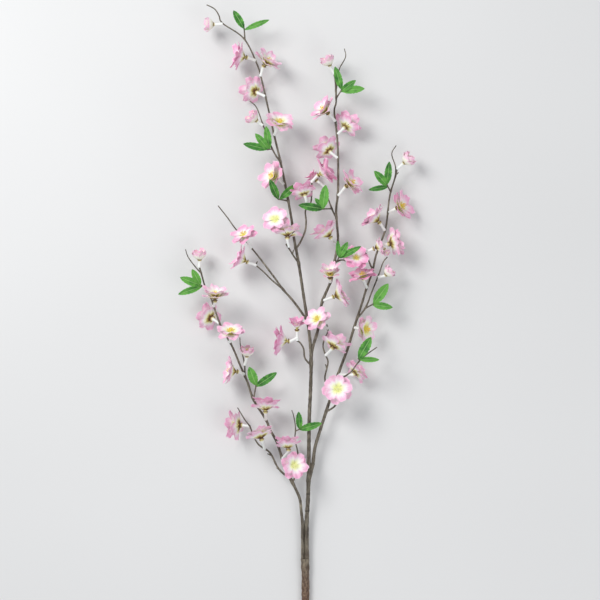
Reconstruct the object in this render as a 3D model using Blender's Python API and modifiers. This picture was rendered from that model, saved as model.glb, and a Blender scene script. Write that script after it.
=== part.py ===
"""Peach blossom branch: silk blooms, buds and leaves on wired stems, lying on a surface.

Metres, +Z up. The branch lies along +Y with its tips up the page, and the origin is on the surface,
under the flattened spot near the cut end of the stem. The layout below is in millimetres and degrees.
"""

import math
import random

import bmesh
import bpy
from mathutils import Vector

MM = 0.001
NAME = "peach_blossom_branch"
SEED = 7

# Driving dimensions
GAP = 0.3 * MM
REST_FLAT_LENGTH = 90.0 * MM
TUBE_STEP = 28.0 * MM
PEG_RADIUS = 2.2 * MM
FORK_HEIGHT = 3.5 * MM
PETAL_THICKNESS = 0.7 * MM
LEAF_THICKNESS = 0.7 * MM
PETIOLE_RADIUS = 1.1 * MM
LEAF_SPACING = 2.2
PETALS = 5
NOTCH = 0.32
FOLD = 9.0
STRETCH = 4.0
EDGE_LIFT = 0.06
CALYX_RADIUS = 4.0 * MM
CALYX_HEIGHT = 2.6 * MM
LOWER_PETALS_HEIGHT = 3.0 * MM
UPPER_PETALS_HEIGHT = 6.0 * MM
UPPER_PETALS_SHARE = 0.95
WAIST_RADIUS = 2.4 * MM
WAIST_HEIGHT = 6.4 * MM
CROWN_TOOTH = 4.0 * MM
CROWN_POINT = 2.0 * MM
BUD_CALYX_RADIUS = 3.6 * MM
BUD_CALYX_HEIGHT = 2.2 * MM
BUD_LOBE = 0.12
BUD_NOTCH = 0.4
PETIOLE_TOP_RADIUS = 1.4 * MM
LEAF_ROOT_DEPTH = 0.9 * MM
LEAF_ARCH = 0.07
LEAF_WAVE = 0.05
LEAF_CREASE = 0.3
SHARP_ANGLE = 50.0

# Leaf outline: place along the leaf and breadth as a share of its width
LEAF_OUTLINE = [(0.0, 0.1), (0.1, 0.2), (0.3, 0.84), (0.52, 1.0), (0.78, 0.68), (1.0, 0.08)]

# Angle between petal and bloom axis, at the base and at the rim, of the lower and the upper layer
SPREADS = {
    "wide": ((74, 102), (62, 90)),
    "open": ((66, 98), (54, 82)),
    "cup": ((50, 76), (32, 56)),
}

# Stamens: radius of the inner and of the outer points, and height of the inner ones
CROWNS = {"wide": (1.3, 4.2, 9.0), "open": (1.2, 3.8, 10.0), "cup": (0.9, 1.8, 13.5)}

# Stems of each wooden node: radius at the root and at the tip, then the axis as (x, y, z)
STEMS = {
    "main_stem": {
        "sleeve": (6.2, 6.2, [(0, -20, 5.85), (0, 14, 5.85), (0, 50, 7), (-0.8, 84, 9)]),
        "main": (
            3.6,
            0.9,
            [
                (2, 70, 8.2), (2.2, 84, 9), (2, 143, 12.5), (4, 180, 15.5), (5, 220, 18), (6, 308, 23),
                (8, 353, 25), (9, 404, 27), (6, 447, 28), (-2, 500, 30), (-11, 559, 32), (-18, 596, 33),
                (-23, 633, 33), (-36, 702, 32), (-43, 734, 31), (-52, 772, 29), (-70, 852, 27),
                (-79, 881, 27), (-99, 919, 29), (-133, 943, 32), (-138, 954, 34), (-145, 965, 36),
                (-158, 972, 37),
            ],
        ),
        "right_stub": (2.9, 2.7, [(5, 210, 17.5), (9, 224, 18.5), (12, 238, 19)]),
        "upper_twig": (
            1.4,
            0.8,
            [(-41, 722, 31.3), (-48, 732, 34), (-56, 748, 37), (-68, 780, 39), (-78, 807, 40), (-89, 818, 41)],
        ),
        "inner_left": (1.4, 1.2, [(-20, 610, 33), (-28, 613, 39), (-35, 613, 43)]),
        "left_spur": (1.5, 1.1, [(-11, 559, 32), (-18, 569, 40), (-25, 580, 50), (-31, 589, 58)]),
        "inner_twig": (
            1.6,
            1.1,
            [
                (-15, 583, 32.5), (-9, 591, 35), (-1, 609, 38), (1, 625, 38), (0, 643, 36), (8, 654, 34),
                (10, 671, 32), (10, 689, 33),
            ],
        ),
        "inner_spur": (1.4, 1.2, [(2, 647, 35.5), (3, 651, 43), (2, 655, 50)]),
        "centre_limb": (
            2.5,
            1.3,
            [
                (9, 402, 27), (11, 422, 28), (20, 453, 29.5), (26, 494, 30.5), (41, 532, 31.5), (47, 564, 32),
                (52, 596, 32.5), (49, 641, 33), (52, 674, 34), (52, 733, 35), (50, 767, 35), (46, 802, 35),
                (49, 817, 35), (48, 846, 35), (46, 862, 36),
            ],
        ),
        "centre_tip": (1.2, 0.7, [(49, 834, 35), (51, 850, 37), (54, 869, 39), (64, 888, 42), (62, 901, 45)]),
        "centre_side": (1.4, 1.1, [(49, 632, 33), (44, 642, 29), (38, 658, 23), (30, 682, 18)]),
        "centre_outer": (1.4, 1.1, [(47, 560, 32), (53, 563, 35), (60, 564, 38), (66, 562, 40)]),
        "outer_left": (
            2.0,
            0.8,
            [
                (2, 466, 28.7), (-4, 477, 29), (-21, 500, 29), (-36, 517, 29), (-52, 539, 29), (-78, 573, 29),
                (-112, 614, 30), (-125, 632, 32), (-140, 651, 34),
            ],
        ),
        "outer_left_side": (1.4, 1.0, [(-36, 517, 29), (-54, 532, 30), (-67, 545, 31), (-80, 556, 32)]),
        "low_spur": (1.5, 1.1, [(8, 396, 27), (-1, 407, 29), (-3, 422, 31), (-9, 432, 33), (-14, 435, 34)]),
    },
    "right_limb": {
        "right": (
            2.7,
            1.2,
            [
                (12.1, 238.35, 19), (15, 262, 19.5), (20, 280, 20), (26, 299, 20), (38, 336, 21), (55, 388, 22),
                (68, 423, 23), (78, 456, 23.5), (90, 493, 24), (98, 519, 24), (107, 545, 23.5), (113, 571, 23),
                (119, 588, 22.5), (129, 617, 22), (135, 666, 23), (143, 694, 25), (147, 710, 27),
            ],
        ),
        "right_front": (1.6, 1.2, [(36, 322, 20.7), (47, 330, 25), (50, 341, 31), (50, 351, 35)]),
        "right_inner": (
            1.5,
            1.0,
            [
                (40, 343, 21), (35, 360, 27), (31, 376, 33), (36, 400, 38), (32, 412, 38), (28, 426, 31),
                (31, 439, 28), (36, 450, 29), (34, 461, 30),
            ],
        ),
        "right_leafy": (
            1.5,
            0.8,
            [
                (48, 366, 21.5), (56, 374, 31), (64, 379, 41), (73, 386, 49), (85, 402, 52), (97, 413, 53),
                (114, 425, 54),
            ],
        ),
        "right_outer": (
            1.5,
            0.9,
            [
                (84, 472, 23.7), (94, 484, 27), (100, 496, 29), (105, 510, 31), (117, 540, 33), (124, 560, 34),
                (131, 569, 35),
            ],
        ),
        "right_spur": (1.4, 1.1, [(108, 548, 23.5), (104, 556, 31), (100, 566, 38), (96, 577, 43)]),
        "right_tip": (1.1, 0.7, [(144, 698, 25.3), (144, 714, 29), (138, 734, 33), (145, 747, 36)]),
    },
    "left_limb": {
        "left": (
            2.6,
            1.2,
            [
                (-4.5, 84.35, 9), (-4.7, 124, 11.4), (-5, 143, 12.5), (-6.8, 161, 14), (-9, 180, 15.5),
                (-16, 197, 17), (-25, 215, 18.5), (-34, 236, 19.5), (-40, 254, 20), (-47, 274, 20),
                (-57, 292, 19.5), (-64, 309, 19.5), (-83, 339, 19.5), (-93, 368, 21), (-105, 396, 25),
                (-118, 427, 30), (-134, 455, 35), (-143, 479, 36), (-151, 502, 32), (-160, 519, 29),
                (-167, 543, 28), (-170, 553, 28),
            ],
        ),
        "left_low": (
            1.7,
            0.8,
            [
                (-24, 213, 18.3), (-34, 220, 19), (-45, 232, 20.5), (-57, 255, 22), (-75, 268, 24), (-84, 284, 26),
                (-89, 298, 37), (-97, 310, 55), (-108, 329, 64),
            ],
        ),
        "left_inner": (
            1.5,
            0.7,
            [
                (-21, 207, 17.7), (-14, 222, 14), (-11, 238, 11), (-13, 258, 10), (-17, 276, 11), (-16, 294, 15),
                (-19, 314, 18), (-22, 323, 20),
            ],
        ),
        "left_side": (1.3, 0.7, [(-97, 378, 21.4), (-98, 399, 26), (-104, 426, 29), (-105, 440, 31)]),
        "left_tip": (1.1, 0.7, [(-167.5, 543, 28), (-178, 555, 27), (-188, 569, 30), (-192, 581, 33)]),
    },
}

# Blooms: node, shape, stem or "peg" of the bloom above in the list, (x, y) of the peg's foot,
# the hub that the peg ends at, direction and rise of the face, radius
BLOOMS = [
    ("bloom_main_1", "open", "main", (-82, 884), (-92, 887, 38), (168, 5), 24.5),
    ("bloom_main_2", "open", "main", (-69, 861), (-68, 872, 37), (52, 15), 25.5),
    ("bloom_main_3", "open", "main", (-66, 827), (-76.3, 831.7, 28.92), (150, -42), 24),
    ("bloom_main_4", "wide", "main", (-49, 765), (-45, 777, 42), (66, 27), 25.5),
    ("bloom_main_5", "open", "main", (-34, 686), (-43.5, 694.5, 33), (157, 30), 25),
    ("bloom_main_6", "open", "left_spur", (-28, 585), (-29, 596, 61), (88, -15), 24.5),
    ("bloom_main_6", "wide", "inner_left", (-35, 613), (-46, 625, 51), (124, 58), 23.5),
    ("bloom_low_1", "cup", "low_spur", (-14, 435), (-13.5, 449.5, 37), (92, 12), 15),
    ("bloom_low_1", "open", "peg", None, (-24.5, 434, 36), (176, -5), 26),
    ("bloom_outer_1", "wide", "outer_left", (-87, 585), (-95, 598, 49), (118, 32), 23),
    ("bloom_outer_2", "open", "outer_left_side", (-80, 556), (-91, 559.5, 40), (151, 0), 23.5),
    ("bloom_centre_1", "open", "centre_limb", (47, 787), (38, 796, 45), (138, 18), 24.5),
    ("bloom_centre_2", "open", "centre_limb", (50, 766), (60.3, 774.2, 35.8), (48, -38), 24.5),
    ("bloom_centre_3", "open", "centre_limb", (52, 728), (40.5, 735.5, 37), (124, -40), 23.5),
    ("bloom_centre_4", "open", "inner_twig", (10, 689), (18.5, 698.5, 37), (29, 8), 24.5),
    ("bloom_centre_5", "cup", "centre_side", (30, 682), (19.5, 690.5, 16), (135, 5), 12),
    ("bloom_centre_6", "open", "centre_limb", (53, 668), (63, 680, 42), (36, 15), 24.5),
    ("bloom_centre_7", "open", "inner_spur", (2, 655), (-0.5, 664.5, 56), (110, -28), 21.5),
    ("bloom_centre_8", "open", "centre_limb", (51, 590), (41.5, 597, 55.5), (127, -12), 25),
    ("bloom_centre_9", "cup", "centre_limb", (41, 529), (39, 533, 43), (90, 25), 18.5),
    ("bloom_centre_10", "open", "centre_limb", (30, 500), (42, 504, 40), (24, -3), 25),
    ("bloom_centre_11", "wide", "centre_outer", (66, 562), (80, 562, 47), (80, 52), 22),
    ("bloom_right_1", "wide", "right_front", (50, 351), (51, 357, 46), (90, 80), 25.5),
    ("bloom_right_2", "open", "right_inner", (32, 412), (41, 421, 51), (57, -20), 25),
    ("bloom_right_3", "wide", "right", (53, 381), (76, 380, 30), (45, -25), 22.5),
    ("bloom_right_4", "open", "right", (78, 456), (88, 453, 31), (2, 38), 23),
    ("bloom_right_5", "wide", "right_inner", (35, 455), (22.5, 464, 48.5), (128, 42), 23),
    ("bloom_right_6", "wide", "right", (97, 521), (92.5, 532, 44), (100, 20), 24),
    ("bloom_right_7", "open", "right_spur", (96, 577), (106.5, 581, 46), (20, 0), 15),
    ("bloom_right_8", "open", "right", (120, 588), (130.5, 588.5, 34), (18, -18), 25),
    ("bloom_right_8", "bud", "peg", None, (126, 582, 38), (-60, 20), 6.5),
    ("bloom_right_9", "open", "right", (126, 613), (120, 622, 34), (136, 5), 25),
    ("bloom_right_10", "open", "right", (132.5, 641), (144, 646, 20.66), (25, 20), 26),
    ("bloom_left_1", "open", "left", (-147, 490), (-144, 496.5, 58), (88, 15), 22.5),
    ("bloom_left_2", "open", "left", (-138, 464), (-147.5, 469, 32), (153, -45), 23.3),
    ("bloom_left_3", "wide", "left", (-121, 434), (-119, 443, 53), (92, 28), 24),
    ("bloom_left_4", "open", "left", (-99, 382), (-106.5, 385, 39), (172, 6), 24),
    ("bloom_left_5", "open", "left", (-64, 309), (-64, 319, 46), (88, -12), 25),
    ("bloom_left_6", "open", "left_low", (-89, 298), (-100, 299.5, 32), (178, -20), 25),
    ("bloom_left_7", "open", "left_low", (-66, 262), (-69, 275, 51), (108, -20), 24),
    ("bloom_left_8", "open", "left", (-37, 246), (-27, 258.5, 46), (95, -18), 22.5),
    ("bloom_left_8", "wide", "left", (-32, 232), (-22, 235.5, 40), (10, 62), 23.5),
    ("bud_main_1", "bud", "main", (-133, 943), (-145, 941, 33), (180, 5), 12),
    ("bud_main_2", "bud", "upper_twig", (-68, 780), (-76.5, 785, 41), (140, 10), 13),
    ("bud_centre_1", "bud", "centre_limb", (46, 862), (40, 873, 37.5), (117, 10), 12.5),
    ("bud_right_1", "bud", "right_outer", (116, 537), (126.5, 538.5, 35), (42, 5), 11.5),
    ("bud_right_2", "bud", "right", (147, 710), (156, 718, 29), (42, 10), 13),
    ("bud_left_1", "bud", "left", (-170, 553), (-169.5, 562, 29), (93, 8), 13),
    ("bud_left_2", "bud", "left_side", (-97, 397), (-94, 408, 33), (86, 15), 12.5),
]

# Leaf clusters: node, stem, (x, y) of the petiole's foot, its top, then the leaves as (tip, width)
LEAVES = [
    ("leaves_top", "main", (-98, 917), (-98, 934, 40), [((-115, 962, 43), 12), ((-58, 947, 44), 9)]),
    (
        "leaves_main_1", "upper_twig", (-53, 742), (-61, 740, 45),
        [((-99, 749, 49), 12), ((-80, 765, 53), 12), ((-63, 777, 50), 12)],
    ),
    ("leaves_main_2", "main", (-29, 659), (-44, 661, 42), [((-57, 692, 63), 12), ((-15, 684, 32), 12)]),
    (
        "leaves_inner", "centre_side", (42, 646), (27, 645, 50),
        [((32, 683, 54), 15), ((-11, 651, 57), 13), ((15, 662, 54), 9)],
    ),
    (
        "leaves_centre_1", "centre_limb", (49, 824), (58, 836, 43),
        [((47, 872, 49), 12), ((94, 837, 49), 13), ((80, 850, 51), 11)],
    ),
    (
        "leaves_centre_2", "centre_outer", (51, 563), (53, 568, 60),
        [((51, 594, 64), 8), ((67, 592, 68), 11), ((88, 585, 68), 10)],
    ),
    (
        "leaves_left_1", "left", (-160, 519), (-168, 524, 40),
        [((-181, 549, 45), 12), ((-200, 536, 45), 13), ((-203, 509, 45), 11)],
    ),
    ("leaves_left_2", "left", (-84, 343), (-79, 364, 33), [((-90, 393, 39), 15), ((-46, 384, 39), 13)]),
    ("leaves_left_3", "left_inner", (-15, 290), (-9, 293, 26), [((-11, 321, 31), 11), ((26, 303, 34), 12)]),
    ("leaves_right_1", "right_leafy", (86, 404), (84, 407, 60), [((104, 441, 65), 16), ((117, 405, 63), 9)]),
    ("leaves_right_2", "right_outer", (96, 488), (109, 494, 37), [((132, 526, 43), 16), ((139, 488, 41), 12)]),
    (
        "leaves_right_3", "right", (137, 674), (130, 685, 33),
        [((134, 721, 38), 12), ((110, 706, 40), 13), ((101, 676, 39), 9)],
    ),
]


def material(name, colour, roughness):
    """A Principled BSDF material of one colour."""
    made = bpy.data.materials.new(name)
    made.use_nodes = True
    shader = made.node_tree.nodes["Principled BSDF"]
    shader.inputs["Base Color"].default_value = (*colour, 1.0)
    shader.inputs["Roughness"].default_value = roughness
    shader.inputs["Metallic"].default_value = 0.0
    return made


def heading(azimuth, rise):
    """Unit vector at this direction in the surface's plane, from +X, and this rise above it."""
    azimuth, rise = math.radians(azimuth), math.radians(rise)
    return Vector((math.cos(azimuth) * math.cos(rise), math.sin(azimuth) * math.cos(rise), math.sin(rise)))


def catmull_rom(a, b, c, d, t):
    """Point at t between b and c on the smooth curve through a, b, c and d."""
    return 0.5 * (2 * b + (c - a) * t + (2 * a - 5 * b + 4 * c - d) * t**2 + (3 * b - a - 3 * c + d) * t**3)


def smooth_route(points):
    """Evenly stepped points in metres on the smooth curve through the given ones."""
    knots = [Vector(p) * MM for p in points]
    knots = [2 * knots[0] - knots[1], *knots, 2 * knots[-1] - knots[-2]]
    route = []
    for a, b, c, d in zip(knots, knots[1:], knots[2:], knots[3:]):
        steps = max(1, round((c - b).length / TUBE_STEP))
        route += [catmull_rom(a, b, c, d, i / steps) for i in range(steps)]
    return [*route, knots[-2]]


def stem_axes():
    """Each stem's route in metres with its radius at every point."""
    axes = {}
    for stems in STEMS.values():
        for name, (root, tip, points) in stems.items():
            route = smooth_route(points)
            share = [i / (len(route) - 1) for i in range(len(route))]
            axes[name] = [(p, (root + (tip - root) * s) * MM) for p, s in zip(route, share)]
    return axes


def nearest_on(axis, x, y):
    """The axis point, direction and radius nearest to (x, y) seen from above, and whether it is the tip."""
    target = Vector((x, y)) * MM
    best = None
    for (p, radius), (q, other) in zip(axis, axis[1:]):
        along = (q - p).xy
        t = max(0.0, min(1.0, (target - p.xy).dot(along) / along.length_squared))
        distance = (p.lerp(q, t).xy - target).length
        if best is None or distance < best[0] - 1e-9:
            best = (distance, p.lerp(q, t), (q - p).normalized(), radius + (other - radius) * t)
    tip = (best[1] - axis[-1][0]).length < 1e-6
    return (*best[1:], tip)


def link(obj, shader, collection):
    """Gives the object its material and puts it in the collection."""
    obj.data.materials.clear()
    obj.data.materials.append(shader)
    collection.objects.link(obj)
    return obj


def tube(name, axis, sides):
    """A closed mesh object along the axis, its width read from the radii."""
    curve = bpy.data.curves.new(name, "CURVE")
    curve.dimensions = "3D"
    curve.bevel_depth = 1.0
    curve.bevel_resolution = sides // 2 - 2
    curve.use_fill_caps = True
    spline = curve.splines.new("POLY")
    spline.points.add(len(axis) - 1)
    for point, (place, radius) in zip(spline.points, axis):
        point.co = (*place, 1.0)
        point.radius = radius
    guide = bpy.data.objects.new(name + "_guide", curve)
    bpy.context.scene.collection.objects.link(guide)
    graph = bpy.context.evaluated_depsgraph_get()
    mesh = bpy.data.meshes.new_from_object(guide.evaluated_get(graph))
    bpy.data.objects.remove(guide)
    bm = bmesh.new()
    bm.from_mesh(mesh)
    bmesh.ops.remove_doubles(bm, verts=bm.verts, dist=1e-6)
    bmesh.ops.recalc_face_normals(bm, faces=bm.faces)
    bm.to_mesh(mesh)
    bm.free()
    mesh.name = name
    return bpy.data.objects.new(name, mesh)


def apply_modifiers(obj):
    """Bakes the object's modifiers into its mesh."""
    graph = bpy.context.evaluated_depsgraph_get()
    mesh = bpy.data.meshes.new_from_object(obj.evaluated_get(graph))
    obj.modifiers.clear()
    obj.data = mesh


def unite(first, others):
    """Joins the other solids to the first with one Boolean union, and removes them."""
    joined = bpy.data.collections.new("joined")
    bpy.context.scene.collection.children.link(joined)
    for other in others:
        joined.objects.link(other)
    union = first.modifiers.new("union", "BOOLEAN")
    union.operation = "UNION"
    union.operand_type = "COLLECTION"
    union.collection = joined
    union.solver = "EXACT"
    bpy.context.view_layer.update()
    apply_modifiers(first)
    for other in others:
        bpy.data.objects.remove(other)
    bpy.data.collections.remove(joined)


def flatten_underside(trunk, cutters):
    """Cuts the small flat that the stem rests on, near its cut end."""
    bpy.ops.mesh.primitive_cube_add(size=1.0)
    block = bpy.context.object
    block.name = "rest_flat_cutter"
    block.scale = (0.04, REST_FLAT_LENGTH, 0.02)
    block.location = (0.0, 0.0, -0.01)
    for used in block.users_collection:
        used.objects.unlink(block)
    cutters.objects.link(block)
    block.hide_render = True
    block.display_type = "WIRE"
    cut = trunk.modifiers.new("rest_flat", "BOOLEAN")
    cut.operation = "DIFFERENCE"
    cut.object = block
    cut.solver = "EXACT"


def wood(node, axes, shader, collection, cutters):
    """One wooden node: its first stem with the others joined to it."""
    names = list(STEMS[node])
    tubes = [tube(name, axes[name], 8 if axes[name][0][1] > 3 * MM else 6) for name in names]
    body = link(tubes[0], shader, collection)
    body.name = node
    unite(body, tubes[1:])
    if node == "main_stem":
        flatten_underside(body, cutters)
    body.data.shade_smooth()
    body.data.set_sharp_from_angle(angle=math.radians(SHARP_ANGLE))
    return body


def bridge(bm, first, second):
    """Triangles between two closed rings of unlike counts, turning alike."""
    n, m = len(first), len(second)
    i = j = 0
    while i < n or j < m:
        if i < n and (j == m or (2 * i + 1) * m <= (2 * j + 1) * n):
            bm.faces.new((first[i % n], first[(i + 1) % n], second[j % m]))
            i += 1
        else:
            bm.faces.new((first[i % n], second[(j + 1) % m], second[j % m]))
            j += 1


def loft(name, rings, apex):
    """A closed mesh through the rings, capped flat at the first and pointed at the apex."""
    bm = bmesh.new()
    made = [[bm.verts.new(p) for p in ring] for ring in rings]
    bm.faces.new(reversed(made[0]))
    for first, second in zip(made, made[1:]):
        bridge(bm, first, second)
    top = bm.verts.new(apex)
    last = made[-1]
    for i, vert in enumerate(last):
        bm.faces.new((vert, last[(i + 1) % len(last)], top))
    bmesh.ops.triangulate(bm, faces=bm.faces)
    mesh = bpy.data.meshes.new(name)
    bm.to_mesh(mesh)
    bm.free()
    return bpy.data.objects.new(name, mesh)


class Bloom:
    """Frame of one bloom: its hub, its axis and the direction of its low side."""

    def __init__(self, hub, face, roll, fold):
        self.hub = hub
        self.axis = face
        down = face * face.z - Vector((0, 0, 1))
        self.u = down.normalized() if down.length > 0.1 else Vector((1, 0, 0))
        self.v = face.cross(self.u)
        self.roll = roll
        self.fold = math.radians(fold)

    def at(self, radius, angle, height):
        """World point at this radius and angle round the axis, this high above the hub."""
        angle += self.roll
        spoke = self.u * math.cos(angle) + self.v * math.sin(angle)
        return self.hub + spoke * radius + self.axis * height

    def folded(self, angle):
        """How much less the petals spread at this angle, most on the low side."""
        return self.fold * ((1 + math.cos(angle + self.roll)) / 2) ** 2


def petal_point(bloom, reach, spread, start, turn, share, lift):
    """Point of a petal layer, lift above its middle surface; turn is (angle, place across the petal)."""
    angle, across = turn
    base, rim = (math.radians(a) for a in spread)
    bend = rim - base
    length = reach * bend / (math.cos(base) - math.cos(rim))
    base -= bloom.folded(angle)
    slope = base + bend * share
    radius = length * (math.cos(base) - math.cos(slope)) / bend - lift * math.cos(slope)
    height = length * (math.sin(slope) - math.sin(base)) / bend + lift * math.sin(slope)
    height += EDGE_LIFT * reach * share * across**2
    return bloom.at(radius, angle, start + height)


def turns(counts, phase):
    """Angles of a ring with this many points a petal, each with its place across the petal."""
    sector = 2 * math.pi / PETALS
    places = {1: [-1.0], 2: [-1.0, 0.0], 3: [-1.0, -0.4, 0.4], 4: [-1.0, -0.54, 0.0, 0.54]}[counts]
    return [(phase + sector * (k + (place + 1) / 2), place) for k in range(PETALS) for place in places]


def rim_share(across):
    """How far out the rim runs at this place across a petal, from its notch to its round lobe."""
    return 1.0 - NOTCH * abs(across) ** 3.5


def layer_rings(bloom, reach, spread, start, phase, points):
    """Rings up the underside of a petal layer, round its rim and back to its root on the upper side."""
    half = PETAL_THICKNESS / 2
    rim = turns(points, phase)
    under = [petal_point(bloom, reach, spread, start, t, rim_share(t[1]), -half) for t in rim]
    upper = [petal_point(bloom, reach, spread, start, t, rim_share(t[1]), half) for t in rim]
    middle = [petal_point(bloom, reach, spread, start, t, 0.52, half) for t in turns(2, phase)]
    inner = [petal_point(bloom, reach, spread, start, t, 0.13, half) for t in turns(1, phase)]
    return [under, upper, middle, inner] if points > 3 else [under, upper, inner]


def peg_rings(seat, seat_normal, bloom):
    """Peg from its slanted foot on the stem to the hub, turned to the bloom's own roll."""
    hub = bloom.hub
    along = (hub - seat).normalized()
    side = (bloom.u - along * bloom.u.dot(along)).normalized()
    other = along.cross(side)
    ring, top = [], []
    for k in range(PETALS):
        angle = 2 * math.pi * k / PETALS + bloom.roll
        offset = (side * math.cos(angle) + other * math.sin(angle)) * PEG_RADIUS
        down = (hub + offset - seat).dot(seat_normal) / along.dot(seat_normal)
        ring.append(hub + offset - along * down)
        top.append(hub + offset)
    return [ring, top]


def bud_rings(bloom, reach):
    """Rings of a half-open bud above its peg: calyx, belly, lip and hollow."""
    sector = 2 * math.pi / PETALS
    places = turns(3, 0.0)
    calyx = [bloom.at(BUD_CALYX_RADIUS, sector * k, BUD_CALYX_HEIGHT) for k in range(PETALS)]
    belly = [bloom.at(reach * 0.86, sector * k / 2, reach * 0.7) for k in range(2 * PETALS)]
    lip, back = (
        [
            bloom.at(reach * (width - BUD_LOBE * abs(p)), a, reach * (height - BUD_NOTCH * abs(p) ** 3))
            for a, p in places
        ]
        for width, height in ((1.0, 1.45), (0.92, 1.48))
    )
    hollow = [bloom.at(reach * 0.45, sector * k, reach * 0.95) for k in range(PETALS)]
    return [calyx, belly, lip, back, hollow]


def bloom_solid(name, shape, seat, seat_normal, bloom, reach, stretch):
    """One bloom or bud as one closed body: peg, calyx, petal layers and stamens."""
    rings = peg_rings(seat, seat_normal, bloom)
    sector = 2 * math.pi / PETALS
    if shape == "bud":
        return loft(name, rings + bud_rings(bloom, reach), bloom.at(0, 0, reach * 1.2))
    lower, upper = (tuple(a + stretch for a in spread) for spread in SPREADS[shape])
    rings += [[bloom.at(CALYX_RADIUS, sector * k, CALYX_HEIGHT) for k in range(PETALS)]]
    rings += layer_rings(bloom, reach, lower, LOWER_PETALS_HEIGHT, 0.0, 3)
    rings += [[bloom.at(WAIST_RADIUS, t[0], WAIST_HEIGHT) for t in turns(1, sector / 2)]]
    rings += layer_rings(bloom, reach * UPPER_PETALS_SHARE, upper, UPPER_PETALS_HEIGHT, sector / 2, 4)
    inner, outer, rise = (size * MM for size in CROWNS[shape])
    crown = [
        bloom.at(outer if k % 2 else inner, sector * (k + 1) / 2, rise + (CROWN_TOOTH if k % 2 else 0.0))
        for k in range(2 * PETALS)
    ]
    return loft(name, [*rings, crown], bloom.at(0, 0, rise + CROWN_POINT))


def seat_on_stem(axes, stem, place, along):
    """Where a peg or petiole meets its stem: the seat's point and the normal of its slanted foot."""
    centre, tangent, radius, tip = nearest_on(axes[stem], *place)
    if tip and along.dot(tangent) > 0.7:
        return centre + tangent * GAP, tangent
    if tip:
        centre = centre - tangent * PEG_RADIUS
    normal = (along - tangent * along.dot(tangent)).normalized()
    return centre + normal * (radius + GAP), normal


def make_blooms(axes, shader, collection):
    """Every bloom and bud on its stem; rows that share a node are joined."""
    chance = random.Random(SEED)
    nodes = {}
    last_foot, last_hub = None, None
    for node, shape, stem, place, hub, face, reach in BLOOMS:
        hub = Vector(hub) * MM
        if stem == "peg":
            seat = last_foot + (last_hub - last_foot).normalized() * FORK_HEIGHT
            seat_normal = (hub - seat).normalized()
        else:
            centre = nearest_on(axes[stem], *place)[0]
            seat, seat_normal = seat_on_stem(axes, stem, place, (hub - centre).normalized())
        bloom = Bloom(hub, heading(*face), chance.uniform(0, 2 * math.pi / PETALS), chance.uniform(0, FOLD))
        stretch = chance.uniform(-STRETCH, STRETCH)
        solid = bloom_solid(node, shape, seat, seat_normal, bloom, reach * MM, stretch)
        nodes.setdefault(node, []).append(solid)
        last_foot, last_hub = seat, hub
    for node, (first, *others) in nodes.items():
        link(first, shader, collection)
        first.name = node
        if others:
            unite(first, others)


def leaf_blade(name, root, tip, width):
    """A waved, folded leaf: an open surface of triangles with Solidify."""
    along = tip - root
    side = along.cross(Vector((0, 0, 1))).normalized()
    up = side.cross(along).normalized()
    bm = bmesh.new()
    rows = []
    for share, breadth in LEAF_OUTLINE:
        half = width * breadth / 2
        arch = LEAF_ARCH * along.length * math.sin(math.pi * share)
        wave = LEAF_WAVE * width * math.sin(2.2 * math.pi * share)
        lift = LEAF_CREASE * half * min(1.0, 4 * share)
        middle = root + along * share + up * arch
        rows.append([bm.verts.new(middle + side * half * k + up * (lift * abs(k) + wave * k)) for k in (-1, 0, 1)])
    for a, b in zip(rows, rows[1:]):
        for k in range(2):
            bm.faces.new((a[k], a[k + 1], b[k + 1]))
            bm.faces.new((a[k], b[k + 1], b[k]))
    bmesh.ops.recalc_face_normals(bm, faces=bm.faces)
    mesh = bpy.data.meshes.new(name)
    bm.to_mesh(mesh)
    bm.free()
    blade = bpy.data.objects.new(name, mesh)
    solid = blade.modifiers.new("thickness", "SOLIDIFY")
    solid.thickness = LEAF_THICKNESS
    solid.offset = 0.0
    return blade


def make_leaves(axes, shader, collection):
    """Each leaf cluster: its petiole with the blades joined to it."""
    for node, stem, place, top, leaves in LEAVES:
        top = Vector(top) * MM
        centre = nearest_on(axes[stem], *place)[0]
        along = (top - centre).normalized()
        seat, normal = seat_on_stem(axes, stem, place, along)
        slant = along.dot(normal)
        foot = seat + along * PETIOLE_RADIUS * math.sqrt(1 - slant**2) / slant
        petiole = tube(node, [(foot, PETIOLE_RADIUS), (top, PETIOLE_TOP_RADIUS)], 6)
        link(petiole, shader, collection)
        blades = []
        for k, (tip, width) in enumerate(leaves):
            tip = Vector(tip) * MM
            joint = top + (foot - top).normalized() * (0.7 + LEAF_SPACING * k) * MM
            root = joint - (tip - joint).normalized() * LEAF_ROOT_DEPTH
            blade = leaf_blade(f"{node}_blade_{k}", root, tip, width * MM)
            bpy.context.scene.collection.objects.link(blade)
            bpy.context.view_layer.update()
            apply_modifiers(blade)
            bpy.context.scene.collection.objects.unlink(blade)
            blades.append(blade)
        unite(petiole, blades)


def main():
    for obj in list(bpy.data.objects):
        bpy.data.objects.remove(obj)
    branch = bpy.data.collections.new(NAME)
    cutters = bpy.data.collections.new("cutters")
    bpy.context.scene.collection.children.link(branch)
    bpy.context.scene.collection.children.link(cutters)
    axes = stem_axes()
    bark = material("bark_plastic", (0.17, 0.10, 0.06), 0.75)
    silk = material("petal_silk", (0.92, 0.55, 0.68), 0.85)
    green = material("leaf_silk", (0.10, 0.36, 0.07), 0.7)
    for node in STEMS:
        wood(node, axes, bark, branch, cutters)
    make_blooms(axes, silk, branch)
    make_leaves(axes, green, branch)


main()
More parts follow.
